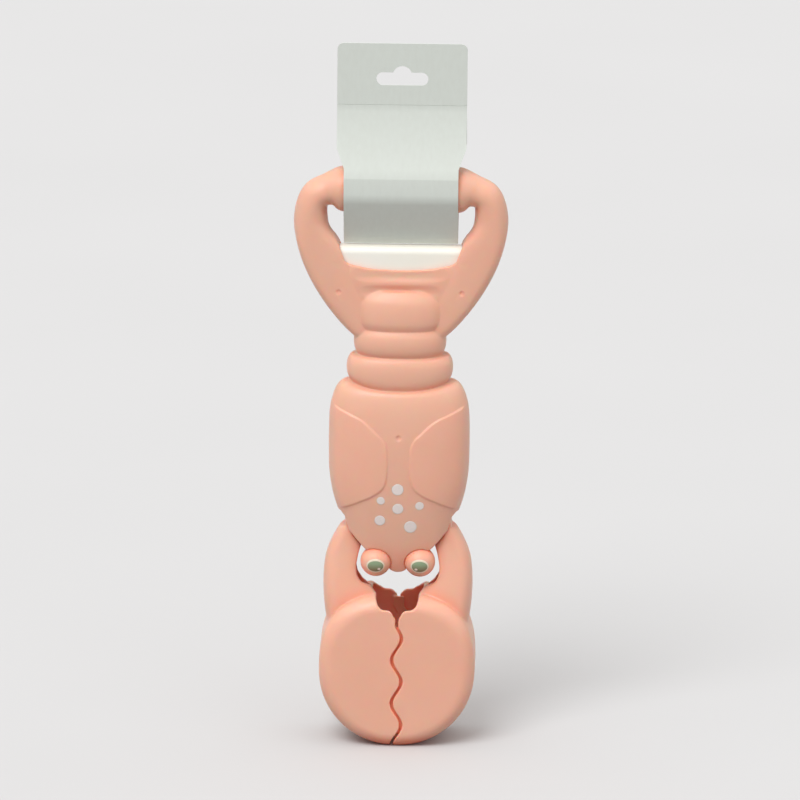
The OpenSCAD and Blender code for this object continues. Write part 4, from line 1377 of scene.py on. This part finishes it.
    def lip(self, phase: int, rise: float) -> Solid:
        """Inner lip at the front that closes the biting gap of the shut claws, a tongue on a root.

        Args:
            phase: 1 or -1, the side that the wave starts to.
            rise: how far it goes on straight above the wave.

        Returns:
            The lip.
        """
        low, inner, gap = self.lip_low * self.height, self.depth / 2 - self.wall, self.lip_free
        (out, back), face = self.lip_reach, gap - inner
        parts = ((out, back, (face, face + self.lip_t)),
                 (gap, back - gap, (-inner - self.wall / 2, face + self.lip_t / 2)))
        tongue, root = (Solid.prism_y(np.concatenate([self.wave(phase, low, a, rise),
                                                      self.wave(phase, low, b, rise)[::-1]]), *ends)
                        for a, b, ends in parts)
        return tongue.plus(root)

    def lever(self) -> Solid:
        """The two lever cheeks that carry the lever pin.

        Returns:
            Both cheeks.
        """
        shape = hull(np.concatenate([circle(self.lever_r, 64) + np.array([self.pivot_x, self.pivot_z]),
                                     circle(self.lever_tip_r, 64) + np.array(self.lever_pin)]))
        near, far = self.cheek
        return Solid.prism_y(shape, near, far).beside(Solid.prism_y(shape, -far, -near))

    def solid(self, phase: int) -> Solid:
        """The whole moulding on the right side.

        Args:
            phase: 1 or -1, the side that the wave starts to.

        Returns:
            The claw before its edges are softened.
        """
        form = self.scoop(0.0).plus(self.arm()).plus(self.knuckle()).minus(self.scoop(self.wall))
        form = form.minus(self.arm_channel()).minus(self.bite(phase))
        ground = Solid.box((-self.width, -self.depth, -self.height), (self.width, self.depth, 0.0))
        form = form.minus(ground).plus(self.lever())
        if phase < 0:
            back = self.lip(phase, self.lip_back_rise * self.sill).mirrored(1)
            form = form.plus(self.lip(phase, 0.0)).plus(back)
        half, pivot = self.shoulder_d / 2, (self.pivot_x, self.pivot_z)
        for place, r, low, high in ((pivot, self.pin_hole_r, -self.depth, self.depth),
                                    (pivot, self.bush_r, half - self.bush_h, self.depth),
                                    (pivot, self.bush_r, -self.depth, self.bush_h - half),
                                    (self.lever_pin, self.lever_pin_r + self.lever_pin_free, -half, half)):
            form = form.minus(Solid.rod_y(*place, r, low, high))
        return form

    def build(self, finish: Material) -> None:
        """Makes both claws and sets them in place of the CAD claws.

        Args:
            finish: the plastic.
        """
        for body, phase in ((Body.RIGHT, 1), (Body.LEFT, -1)):
            solid = self.solid(phase)
            if body is Body.LEFT:
                solid = solid.mirrored()
            solid = self.settled(solid.softened(self.voxel, passes=3)).thinned(self.most_triangles)
            show(solid, body.value + "_moulding", finish, body, Slot.PINK, body.value)

    def settled(self, solid: Solid) -> Solid:
        """Keeps the softened feet on the ground and the faces within the depth.

        Args:
            solid: the softened claw.

        Returns:
            The same solid.
        """
        p = solid.points()
        p[:, 1] = np.clip(p[:, 1], -self.depth / 2, self.depth / 2)
        p[:, 2] = np.maximum(p[:, 2], 0.0)
        return solid.moved(p)


def patch(surface: Callable[[np.ndarray, np.ndarray], np.ndarray], half_w: float, half_h: float,
          centre: Pair, lift: float, depth: float) -> Solid:
    """Thin printed patch that follows a front surface.

    Args:
        surface: gives y for arrays of x and z.
        half_w: half width of the patch.
        half_h: half height of the patch.
        centre: its x and z.
        lift: how far it stands off the surface.
        depth: how far it reaches into it.

    Returns:
        The closed patch.
    """
    sides, steps, least, thin, edge_from = 72, 10, 0.02, 0.35, 0.9
    rings = []
    for side, shares in ((lift, np.linspace(least, 1, steps)), (-depth, np.linspace(1, least, steps))):
        for share in shares:
            flat = oval(half_w * share, half_h * share, 2.0, sides) + np.array(centre)
            edge = thin * lift * ease((share - edge_from) / (1 - edge_from)) if side > 0 else 0.0
            rings.append(np.insert(flat, 1, surface(flat[:, 0], flat[:, 1]) - side + edge, axis=1))
    return Solid.loft(np.array(rings))


@dataclass
class Eyes:
    """Ball eyes with their printed irises. Sizes in millimetres."""

    centre: Triple
    r: float
    peg_r: float = 2.0
    peg_end: float = 2.6
    peg_back: float = 1.5
    rim: Pair = (5.6, 4.5)
    iris: Pair = (4.9, 3.5)
    iris_drop: float = 0.15
    gaze: float = -1.0
    glint: Pair = (0.95, 0.7)
    glint_place: Pair = (-2.2, -1.9)
    lifts: Triple = (0.05, 0.09, 0.13)
    print_depth: float = 0.3

    def build(self, finish: Material, rim: Material, iris: Material,
              glint: Material) -> None:
        """Makes both eyes and their prints.

        Args:
            finish: the plastic.
            rim: paint of the rims.
            iris: paint of the irises.
            glint: paint of the glints.
        """
        for side, name in ((-1, "left_eye"), (1, "right_eye")):
            x, y, z = side * self.centre[0], self.centre[1], self.centre[2]
            ends = np.array([side * self.peg_end, x])
            peg = circle(self.peg_r, 48) + np.array([y + self.peg_back, z])
            ball = Solid.ball((x, y, z), self.r).plus(Solid.prism_x(peg, ends.min(), ends.max()))
            show(ball, name + "_ball", finish, Body.CASING, Slot.PINK, name)

            def front(px: np.ndarray, pz: np.ndarray) -> np.ndarray:
                """Front of this eyeball."""
                return y - np.sqrt(np.maximum(self.r ** 2 - (px - x) ** 2 - (pz - z) ** 2, 0.0))

            look = z + self.gaze
            spot = (x + side * self.glint_place[0], look + self.glint_place[1])
            prints = (("_rim", rim, self.rim, (x, look)),
                      ("_iris", iris, self.iris, (x, look - self.iris_drop)),
                      ("_glint", glint, self.glint, spot))
            for (part, paint, size, place), lift in zip(prints, self.lifts):
                film = patch(front, *size, place, lift, self.print_depth)
                show(film, name + part, paint, Body.CASING, Slot.CREAM)


@dataclass
class Spots:
    """Printed spots on the carapace: x, z and radius in millimetres."""

    casing: Casing
    places: tuple[Triple, ...] = (
        (-0.3, 165.4, 3.66), (-10.7, 158.0, 2.5), (-0.1, 152.8, 3.4), (13.3, 154.8, 2.67),
        (-11.2, 144.8, 3.3), (7.7, 140.8, 3.9))
    lift: float = 0.1
    print_depth: float = 0.5

    def front(self, x: np.ndarray, z: np.ndarray) -> np.ndarray:
        """Front of the carapace at x and z.

        Args:
            x: an array of x.
            z: an array of z.

        Returns:
            The y of each point.
        """
        rows = self.casing.trunk_rows()
        half_w, half_d = (np.interp(z, rows[:, 0], rows[:, k]) for k in (1, 2))
        square = self.casing.square
        return -half_d * (1 - (np.abs(x) / half_w) ** square) ** (1 / square)

    def build(self, finish: Material) -> None:
        """Makes the spots as one print."""
        films = [patch(self.front, r, r, (x, z), self.lift, self.print_depth) for x, z, r in self.places]
        show(films[0].beside(*films[1:]), "carapace_spots", finish, Body.CASING, Slot.CREAM)


@dataclass
class Trigger:
    """The hollow trigger bar across the handle. Sizes in millimetres."""

    width: float
    height: float
    thick: float
    top: float
    wall: float = 2.2
    edge_r: float = 4.0
    end_r: float = 0.3
    foot_share: float = 0.7
    bend_share: float = 2 / 3
    boss_r: float = 6.2
    boss_drop: float = 11.0
    rod_r: float = 4.025
    pin_r: float = 1.55
    voxel: float = 0.5

    def form(self, inset: float, low: float) -> Solid:
        """The bar's rounded form, or its hollow.

        Args:
            inset: how far it is drawn in, 0 for the outer form.
            low: how far it reaches below the bar's foot.

        Returns:
            The form.
        """
        z0, side = self.top - self.height, self.width / 2 - inset
        foot, bend = self.foot_share * self.width / 2 - inset, z0 + self.bend_share * self.height
        corner, top, end_r = self.top - self.end_r, self.top - inset, self.end_r
        face = np.array([[-foot, z0 - low], [foot, z0 - low], [foot, z0], [side, bend], [side, corner],
                         [side - end_r, top], [end_r - side, top], [-side, corner], [-side, bend],
                         [-foot, z0]])
        t, r = self.thick / 2 - inset, self.edge_r - inset
        arcs = np.linspace(0, math.pi / 2, 16)
        right = np.stack([t - r + r * np.cos(arcs), top - r + r * np.sin(arcs)], -1)
        left = right[::-1] * np.array([-1, 1])
        section = np.concatenate([[[-t, z0 - low]], [[t, z0 - low]], right, left])
        return Solid.prism_y(face, -self.thick, self.thick).within(
            Solid.prism_x(section, -self.width, self.width))

    def build(self, finish: Material) -> None:
        """Makes the bar with its rod boss.

        Args:
            finish: the plastic.
        """
        z0 = self.top - self.height
        bar = self.form(0.0, 0.0).minus(self.form(self.wall, OVERRUN))
        foot = z0 - self.boss_drop
        boss = Solid.rod_z(self.boss_r, foot, self.top - self.wall)
        bore = Solid.rod_z(self.rod_r, foot - OVERRUN, self.top - 2 * self.wall)
        solid = bar.plus(boss).minus(bore)
        solid = solid.minus(Solid.rod_y(0.0, z0 - self.boss_drop / 2, self.pin_r, -self.thick, self.thick))
        show(solid.softened(self.voxel, passes=3), "trigger_bar", finish, Body.TRIGGER, Slot.CREAM, "trigger")


@dataclass
class HangTag:
    """One card folded round the grip, with its header glued flat. Sizes in millimetres."""

    grip_z: float
    grip_r: float
    neck_w: float
    free: float = 0.6
    card: float = 0.5
    width: float = 80.0
    rise: float = 92.0
    drop: float = 34.3
    neck_top: float = 0.17
    flare_top: float = 0.3
    seam: float = 0.53
    bulge: float = 0.66
    slot_w: float = 32.0
    slot_h: float = 8.0
    slot_foot: float = 0.715
    corner_r: float = 4.0
    bump_r: float = 6.0
    crease: float = 53.3
    crease_w: float = 0.7
    crease_d: float = 0.28
    sharp_deg: float = 25.0

    def teardrop(self, inset: float) -> np.ndarray:
        """Section of the sleeve round the grip.

        Args:
            inset: how far it is drawn in.

        Returns:
            An array of points by 2, as y and z.
        """
        r, tip = self.grip_r + self.free + self.card - inset, self.card - inset / 2
        tips = np.array([[0.0, self.seam * self.rise - 2 * inset],
                         [tip - r, self.bulge * self.grip_r - inset],
                         [0.0, tip + 2 * inset - self.drop]])
        return hull(np.concatenate([circle(r, 160), *(circle(tip, 24) + place for place in tips)]))

    def outline(self) -> np.ndarray:
        """Outline of the tag from the front.

        Returns:
            An array of points by 2, as x and z.
        """
        w, n = self.width / 2, self.neck_w / 2
        turn = np.linspace(0, math.pi / 2, 12)
        corner = np.stack([w - self.corner_r + self.corner_r * np.cos(turn),
                           self.rise - self.corner_r + self.corner_r * np.sin(turn)], -1)
        side = [[n, -self.drop - OVERRUN], [n, self.neck_top * self.rise], [w, self.flare_top * self.rise]]
        right = np.concatenate([side, corner])
        return np.concatenate([right, right[::-1] * np.array([-1, 1])])

    def solid(self) -> Solid:
        """The folded card with its hanging slot and crease.

        Returns:
            The card, with the grip's axis at height 0.
        """
        reach = self.width
        card = Solid.prism_x(self.teardrop(0.0), -reach, reach)
        header = Solid.box((-reach, -self.card, 0.0), (reach, self.card, self.rise))
        card = card.plus(header).minus(Solid.prism_x(self.teardrop(self.card), -2 * reach, 2 * reach))
        card = card.within(Solid.prism_y(self.outline(), -2 * self.grip_r, 2 * self.grip_r))
        r, ends = self.slot_h / 2, (self.slot_w - self.slot_h) / 2
        middle = self.slot_foot * self.rise + r
        bar = hull(np.concatenate([circle(r, 48) + np.array([x, middle]) for x in (-ends, ends)]))
        card = card.minus(Solid.prism_y(bar, -reach, reach))
        card = card.minus(Solid.rod_y(0.0, middle + self.slot_h / 4, self.bump_r, -reach, reach))
        outside = -self.card - OVERRUN
        groove = np.array([[outside, self.crease - self.crease_w], [outside, self.crease + self.crease_w],
                           [self.crease_d - self.card, self.crease]])
        return card.minus(Solid.prism_x(groove, -reach, reach))

    def build(self, finish: Material) -> None:
        """Makes the tag and sets it in place of the CAD card.

        Args:
            finish: the card's material.
        """
        solid = self.solid()
        solid.moved(solid.points() + np.array([0.0, 0.0, self.grip_z]))
        piece = show(solid, "hang_tag_card", finish, Body.CASING, Slot.CARD, "hang_tag")
        piece.data.set_sharp_from_angle(angle=math.radians(self.sharp_deg))


class Tree:
    """One Geometry Nodes tree with named inputs, in metres."""

    KINDS = {float: "NodeSocketFloat", int: "NodeSocketInt"}

    def __init__(self, name: str, sizes: dict[str, float | int], finish: Material) -> None:
        """Names the inputs and starts the tree.

        Args:
            name: name of the tree.
            sizes: value of each named input.
            finish: the material that the tree sets.
        """
        self.group = bpy.data.node_groups.new(name, "GeometryNodeTree")
        face = self.group.interface
        face.new_socket("Geometry", in_out="INPUT", socket_type="NodeSocketGeometry")
        self.values: dict[str, object] = {}
        for label, value in sizes.items():
            socket = face.new_socket(label, in_out="INPUT", socket_type=self.KINDS[type(value)])
            self.values[socket.identifier] = value
        socket = face.new_socket("Finish", in_out="INPUT", socket_type="NodeSocketMaterial")
        self.values[socket.identifier] = finish
        face.new_socket("Geometry", in_out="OUTPUT", socket_type="NodeSocketGeometry")
        self.given = self.group.nodes.new("NodeGroupInput").outputs
        self.end = self.group.nodes.new("NodeGroupOutput")

    def node(self, kind: str, inputs: dict[str | int, object], **settings: object) -> Socket:
        """Adds a node.

        Args:
            kind: the node's type, without its prefix.
            inputs: sockets to link, or values to set, by socket name or place.
            settings: the node's own settings.

        Returns:
            The node's first output.
        """
        node = self.group.nodes.new(kind)
        for name, value in settings.items():
            setattr(node, name, value)
        for label, value in inputs.items():
            if isinstance(value, Socket):
                self.group.links.new(value, node.inputs[label])
            else:
                node.inputs[label].default_value = value
        return node.outputs[0]

    def joined(self, *parts: Socket) -> Socket:
        """One closed mesh of several that overlap.

        Args:
            parts: sockets that hold closed meshes.

        Returns:
            The socket of the joined mesh.
        """
        union = self.group.nodes.new("GeometryNodeMeshBoolean")
        union.operation, union.solver = "UNION", "EXACT"
        for part in parts:
            self.group.links.new(part, union.inputs["Mesh 2"])
        return union.outputs["Mesh"]

    def moved(self, part: Socket, place: Triple | Socket,
              turn: Triple = (0.0, 0.0, 0.0)) -> Socket:
        """A part in a new place."""
        return self.node("GeometryNodeTransform", {"Geometry": part, "Translation": place, "Rotation": turn})

    def at_height(self, height: Socket) -> Socket:
        """Place on the Z axis at a height."""
        return self.node("ShaderNodeCombineXYZ", {"Z": height})

    def sum(self, a: Socket | float, b: Socket | float,
            way: str = "ADD") -> Socket:
        """Sum, or another arithmetic result, of two values."""
        return self.node("ShaderNodeMath", {0: a, 1: b}, operation=way)

    def mesh(self, name: str, points: Sequence[Sequence[float]], result: Socket) -> Solid:
        """Runs the tree over points.

        Args:
            name: name of the mesh.
            points: vertices that the tree is given, in metres.
            result: the socket that holds the shape.

        Returns:
            The realized mesh, in millimetres.
        """
        real = self.node("GeometryNodeRealizeInstances", {"Geometry": result})
        dressed = self.node("GeometryNodeSetMaterial", {"Geometry": real, "Material": self.given["Finish"]})
        self.group.links.new(dressed, self.end.inputs["Geometry"])
        base = bpy.data.meshes.new(name)
        base.from_pydata([list(p) for p in points], [], [])
        holder = bpy.data.objects.new(name, base)
        modifier = holder.modifiers.new("nodes", "NODES")
        modifier.node_group = self.group
        for identifier, value in self.values.items():
            modifier[identifier] = value
        bpy.context.scene.collection.objects.link(holder)
        graph = bpy.context.evaluated_depsgraph_get()
        mesh = bpy.data.meshes.new_from_object(holder.evaluated_get(graph))
        holder.modifiers.clear()
        bpy.data.objects.remove(holder)
        mesh.transform(Matrix.Scale(1 / MM, 4))
        return Solid.of_mesh(mesh)


@dataclass
class CaseScrews:
    """Pan-head screws with a cross recess, put in from the back. Sizes in millimetres."""

    places: Sequence[Pair]
    seat: float
    shank_r: float = 1.3
    head_r: float = 2.6
    head_h: float = 2.0
    rim_share: float = 0.45
    crown_share: float = 0.62
    reach: float = 7.0
    shank_overlap: float = 0.4
    rim_overlap: float = 0.1
    recess_w: float = 0.6
    recess_l: float = 2.9
    recess_d: float = 1.1
    sharp_deg: float = 32.0

    def build(self, finish: Material) -> None:
        """Makes all the screws as one piece.

        Args:
            finish: the steel.
        """
        tree = Tree("case_screw_tree", {
            "Shank radius": self.shank_r * MM,
            "Shank length": (self.reach + self.seat + self.shank_overlap) * MM,
            "Head radius": self.head_r * MM, "Head height": self.head_h * MM, "Seat": self.seat * MM,
            "Recess width": self.recess_w * MM, "Recess length": self.recess_l * MM,
            "Recess depth": self.recess_d * MM}, finish)
        g = tree.given
        rim_h = tree.sum(g["Head height"], self.rim_share, "MULTIPLY")
        rim_deep = tree.sum(rim_h, self.rim_overlap * MM)
        crown_h = tree.sum(g["Head height"], rim_h, "SUBTRACT")
        crown_r = tree.sum(g["Head radius"], self.crown_share, "MULTIPLY")
        head_top = tree.sum(g["Seat"], g["Head height"])
        shank = tree.node("GeometryNodeMeshCylinder", {"Vertices": 32, "Radius": g["Shank radius"],
                                                       "Depth": g["Shank length"]})
        shank_top = tree.sum(g["Seat"], self.shank_overlap * MM)
        shank_mid = tree.sum(shank_top, tree.sum(g["Shank length"], 0.5, "MULTIPLY"), "SUBTRACT")
        rim = tree.node("GeometryNodeMeshCylinder", {"Vertices": 48, "Radius": g["Head radius"],
                                                     "Depth": rim_deep})
        crown = tree.node("GeometryNodeMeshCone", {"Vertices": 48, "Radius Top": crown_r,
                                                   "Radius Bottom": g["Head radius"], "Depth": crown_h})
        rim_mid = tree.sum(g["Seat"], tree.sum(rim_deep, 0.5, "MULTIPLY"))
        crown_foot = tree.sum(g["Seat"], rim_h)
        solid = tree.joined(*(tree.moved(part, tree.at_height(height)) for part, height in (
            (shank, shank_mid), (rim, rim_mid), (crown, crown_foot))))
        for turn in (0.0, math.pi / 2):
            size = tree.node("ShaderNodeCombineXYZ", {"X": g["Recess length"], "Y": g["Recess width"],
                                                      "Z": tree.sum(g["Recess depth"], 2.0, "MULTIPLY")})
            blade = tree.moved(tree.node("GeometryNodeMeshCube", {"Size": size}), tree.at_height(head_top),
                               (0.0, 0.0, turn))
            solid = tree.node("GeometryNodeMeshBoolean", {"Mesh 1": solid, "Mesh 2": blade},
                              operation="DIFFERENCE", solver="EXACT")
        solid = tree.moved(solid, (0.0, 0.0, 0.0), (-math.pi / 2, 0.0, 0.0))
        row = tree.node("GeometryNodeInstanceOnPoints", {"Points": g["Geometry"], "Instance": solid})
        points = [(x * MM, 0.0, z * MM) for x, z in self.places]
        piece = show(tree.mesh("screws", points, row), "case_screw_set", finish, Body.CASING, Slot.STEEL,
                     "case_screws")
        piece.data.set_sharp_from_angle(angle=math.radians(self.sharp_deg))


@dataclass
class ReturnSpring:
    """Coil spring round the push rod. Sizes in millimetres."""

    stroke: float
    outer_d: float = 14.0
    wire_d: float = 1.4
    turns: float = 7.0
    seat: float = 243.45
    length: float = 36.15

    def build(self, finish: Material) -> None:
        """Makes the coil; in the toy the spring shortens as the trigger is pushed.

        Args:
            finish: the steel.
        """
        tree = Tree("return_spring_tree", {
            "Coil radius": (self.outer_d - self.wire_d) / 2 * MM, "Wire radius": self.wire_d / 2 * MM,
            "Turns": self.turns, "Rise": (self.length - self.wire_d) * MM,
            "Start height": (self.seat + self.wire_d / 2) * MM}, finish)
        g = tree.given
        path = tree.node("GeometryNodeCurveSpiral", {
            "Resolution": 48, "Rotations": g["Turns"], "Start Radius": g["Coil radius"],
            "End Radius": g["Coil radius"], "Height": g["Rise"]})
        wire = tree.node("GeometryNodeCurvePrimitiveCircle", {"Resolution": 20, "Radius": g["Wire radius"]})
        coil = tree.node("GeometryNodeCurveToMesh", {"Curve": path, "Profile Curve": wire, "Fill Caps": True})
        coil = tree.moved(coil, tree.at_height(g["Start height"]))
        piece = show(tree.mesh("coil", [(0.0, 0.0, 0.0)], coil), "return_spring_coil", finish, Body.CASING,
                     Slot.STEEL, "return_spring")
        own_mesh(piece)


@dataclass(frozen=True)
class IrisPaint:
    """Iris colour, green above and darker olive towards its lower edge, between two heights in metres."""

    name: str = "iris_paint"
    upper: Triple = (0.25, 0.33, 0.20)
    lower: Triple = (0.22, 0.17, 0.085)
    low: float = 0.1126
    high: float = 0.1172
    span: Pair = (0.1, 0.9)
    grain: Pair = (2200.0, 2.0)
    relief: Pair = (0.04, 0.0001)
    wear: Pair = (500.0, 2.0)
    roughness: Pair = (0.36, 0.46)

    def material(self) -> Material:
        """Builds the node material.

        Returns:
            The material.
        """
        pen = NodePen(self.name)
        split = pen.nodes.new("ShaderNodeSeparateXYZ")
        span = pen.nodes.new("ShaderNodeMapRange")
        span.inputs["From Min"].default_value = self.low
        span.inputs["From Max"].default_value = self.high
        pen.links.new(pen.place, split.inputs["Vector"])
        pen.links.new(split.outputs["Z"], span.inputs["Value"])
        pen.ramp_colour(span.outputs["Result"], self.lower, self.upper, *self.span)
        pen.bump(pen.noise(*self.grain), *self.relief)
        pen.ramp_roughness(pen.noise(*self.wear), *self.roughness)
        return pen.material


@dataclass
class InnerPieces:
    """CAD pieces that keep their shape and get a finish."""

    steel: tuple[str, ...] = ("left_pivot_pin", "right_pivot_pin", "rod_pin", "trigger_pin", "spring_collar",
                              "left_lever_pin", "right_lever_pin")
    cream: tuple[str, ...] = ("rod_guide", "push_rod", "crosshead", "left_pivot_bushes", "right_pivot_bushes")

    def build(self, steel: Material, cream: Material) -> None:
        """Dresses the pieces.

        Args:
            steel: finish of the steel pieces.
            cream: finish of the cream pieces.
        """
        for names, finish in ((self.steel, steel), (self.cream, cream)):
            for name in names:
                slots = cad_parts[name].data.materials
                slots.clear()
                slots.append(finish)
                LOG.info("%s: dressed", name)


@dataclass
class Studio:
    """Pale floor, soft light and the camera. Lengths in metres, angles in degrees."""

    pitch: float = 14.5
    yaw: float = -1.2
    roll: float = 0.5
    distance: float = 6.0
    look: Triple = (0.0, 0.0, 0.222)
    sensor: float = 36.0
    lens: float = 435.484
    shift: Pair = (0.0004, -0.0101)
    floor: Triple = (0.606, 0.605, 0.610)
    floor_shade: float = 0.985
    floor_noise: Pair = (3.0, 2.0)
    floor_span: Pair = (0.3, 0.7)
    floor_roughness: float = 0.9
    floor_specular: float = 0.1
    floor_reach: float = 14.0
    bounce: float = 0.3
    sky: Triple = (1.0, 0.99, 0.975)
    horizon: float = 0.32
    zenith: float = 1.145
    backdrop: float = 0.78
    key: float = 1.8
    key_from: Triple = (-0.4, -0.75, 1.1)
    key_spread: float = 32.0
    fill: float = 0.15
    fill_from: Triple = (0.8, -0.7, 0.5)
    fill_spread: float = 50.0

    def camera(self) -> None:
        """Sets the camera at the photograph's viewing angle."""
        a, b, c = (math.radians(v) for v in (self.pitch, self.yaw, self.roll))
        right, up = Vector((1, 0, 0)), Vector((0, math.sin(a), math.cos(a)))
        ahead = Vector((0, math.cos(a), -math.sin(a)))
        across, rise = right * math.cos(c) + up * math.sin(c), up * math.cos(c) - right * math.sin(c)
        turn = Matrix.Rotation(-b, 3, "Z")
        place = Matrix((turn @ across, turn @ rise, turn @ -ahead)).transposed().to_4x4()
        place.translation = Vector(self.look) - turn @ ahead * self.distance
        data = bpy.data.cameras.new("photo_camera")
        data.sensor_width, data.lens = self.sensor, self.lens
        data.shift_x, data.shift_y = self.shift
        camera = bpy.data.objects.new("photo_camera", data)
        camera.matrix_world = place
        bpy.context.scene.collection.objects.link(camera)
        bpy.context.scene.camera = camera

    def ground(self) -> None:
        """Lays the floor, which sends less light back to the toy than the camera sees."""
        r = self.floor_reach
        mesh = bpy.data.meshes.new("floor")
        mesh.from_pydata([(-r, -r, 0), (r, -r, 0), (r, r, 0), (-r, r, 0)], [], [(0, 1, 2, 3)])
        pen = NodePen("floor_paper")
        shade = tuple(self.floor_shade * v for v in self.floor)
        pen.ramp_colour(pen.noise(*self.floor_noise), shade, self.floor, *self.floor_span)
        pen.seen_only((self.bounce, self.bounce, self.bounce))
        pen.set("Roughness", self.floor_roughness)
        pen.set("Specular IOR Level", self.floor_specular)
        mesh.materials.append(pen.material)
        floor = bpy.data.objects.new("floor", mesh)
        bpy.context.scene.collection.objects.link(floor)

    def light(self) -> None:
        """Soft light from all round, with a broad key from the upper left."""
        world = bpy.data.worlds.new("studio")
        world.use_nodes = True
        tree = world.node_tree
        back = tree.nodes["Background"]
        back.inputs["Color"].default_value = (*self.sky, 1.0)
        split = tree.nodes.new("ShaderNodeSeparateXYZ")
        tree.links.new(tree.nodes.new("ShaderNodeTexCoord").outputs["Generated"], split.inputs["Vector"])
        height = tree.nodes.new("ShaderNodeMapRange")
        height.inputs["To Min"].default_value = self.horizon
        height.inputs["To Max"].default_value = self.zenith
        tree.links.new(split.outputs["Z"], height.inputs["Value"])
        path = tree.nodes.new("ShaderNodeLightPath")
        level = tree.nodes.new("ShaderNodeMapRange")
        level.inputs["To Max"].default_value = self.backdrop
        tree.links.new(height.outputs["Result"], level.inputs["To Min"])
        tree.links.new(path.outputs["Is Camera Ray"], level.inputs["Value"])
        tree.links.new(level.outputs["Result"], back.inputs["Strength"])
        bpy.context.scene.world = world
        self.sun("key", self.key_from, self.key, self.key_spread)
        self.sun("fill", self.fill_from, self.fill, self.fill_spread)

    def sun(self, name: str, towards: Triple, strength: float, spread: float) -> None:
        """A broad lamp far away in a direction.

        Args:
            name: name of the lamp.
            towards: direction from the toy to the lamp.
            strength: its strength.
            spread: its angle as seen from the toy, in degrees.
        """
        data = bpy.data.lights.new(name, "SUN")
        data.energy, data.angle = strength, math.radians(spread)
        lamp = bpy.data.objects.new(name, data)
        lamp.rotation_euler = Vector(towards).to_track_quat("Z", "Y").to_euler()
        bpy.context.scene.collection.objects.link(lamp)

    def build(self) -> None:
        """Sets up the whole studio."""
        bpy.context.scene.view_settings.view_transform = "Standard"
        self.camera()
        self.ground()
        self.light()


def main() -> None:
    """Builds every piece and the studio."""
    logging.basicConfig(level=logging.INFO)
    Studio().build()
    pink = Moulding().material()
    # the cream's deep colour is painted shade in its hollows
    cream = Moulding(name="cream_satin_plastic", colour=(0.96, 0.93, 0.85), shade=(0.945, 0.91, 0.82),
                     deep=(0.95, 0.89, 0.78), glow=0.3, glow_radius=(1.0, 0.95, 0.9),
                     glow_depth=0.002).material()
    steel = Steel().material()
    casing = Casing()
    casing.build(pink)
    Claw(casing.pivot_x, casing.pivot_z, casing.knuckle_r, casing.arm_w).build(pink)
    rim = Paint("rim_paint", (0.86, 0.72, 0.58), (0.82, 0.67, 0.52)).material()
    glint = Paint("glint_paint", (0.80, 0.66, 0.58), (0.76, 0.62, 0.54)).material()
    Eyes(casing.eye, casing.eye_r).build(pink, rim, IrisPaint().material(), glint)
    Spots(casing).build(Paint("spot_paint", (0.83, 0.725, 0.705), (0.79, 0.705, 0.67)).material())
    Trigger(casing.trigger_w, casing.trigger_h, casing.trigger_t, casing.trigger_top).build(cream)
    grip_z, grip_r = casing.loop_z + casing.loop_rise, casing.grip_d / 2
    HangTag(grip_z, grip_r, casing.tag_neck_w).build(Card().material())
    CaseScrews(casing.screw_places(), casing.head_seat).build(steel)
    ReturnSpring(casing.stroke).build(steel)
    InnerPieces().build(steel, cream)


if __name__ == "__main__":
    main()
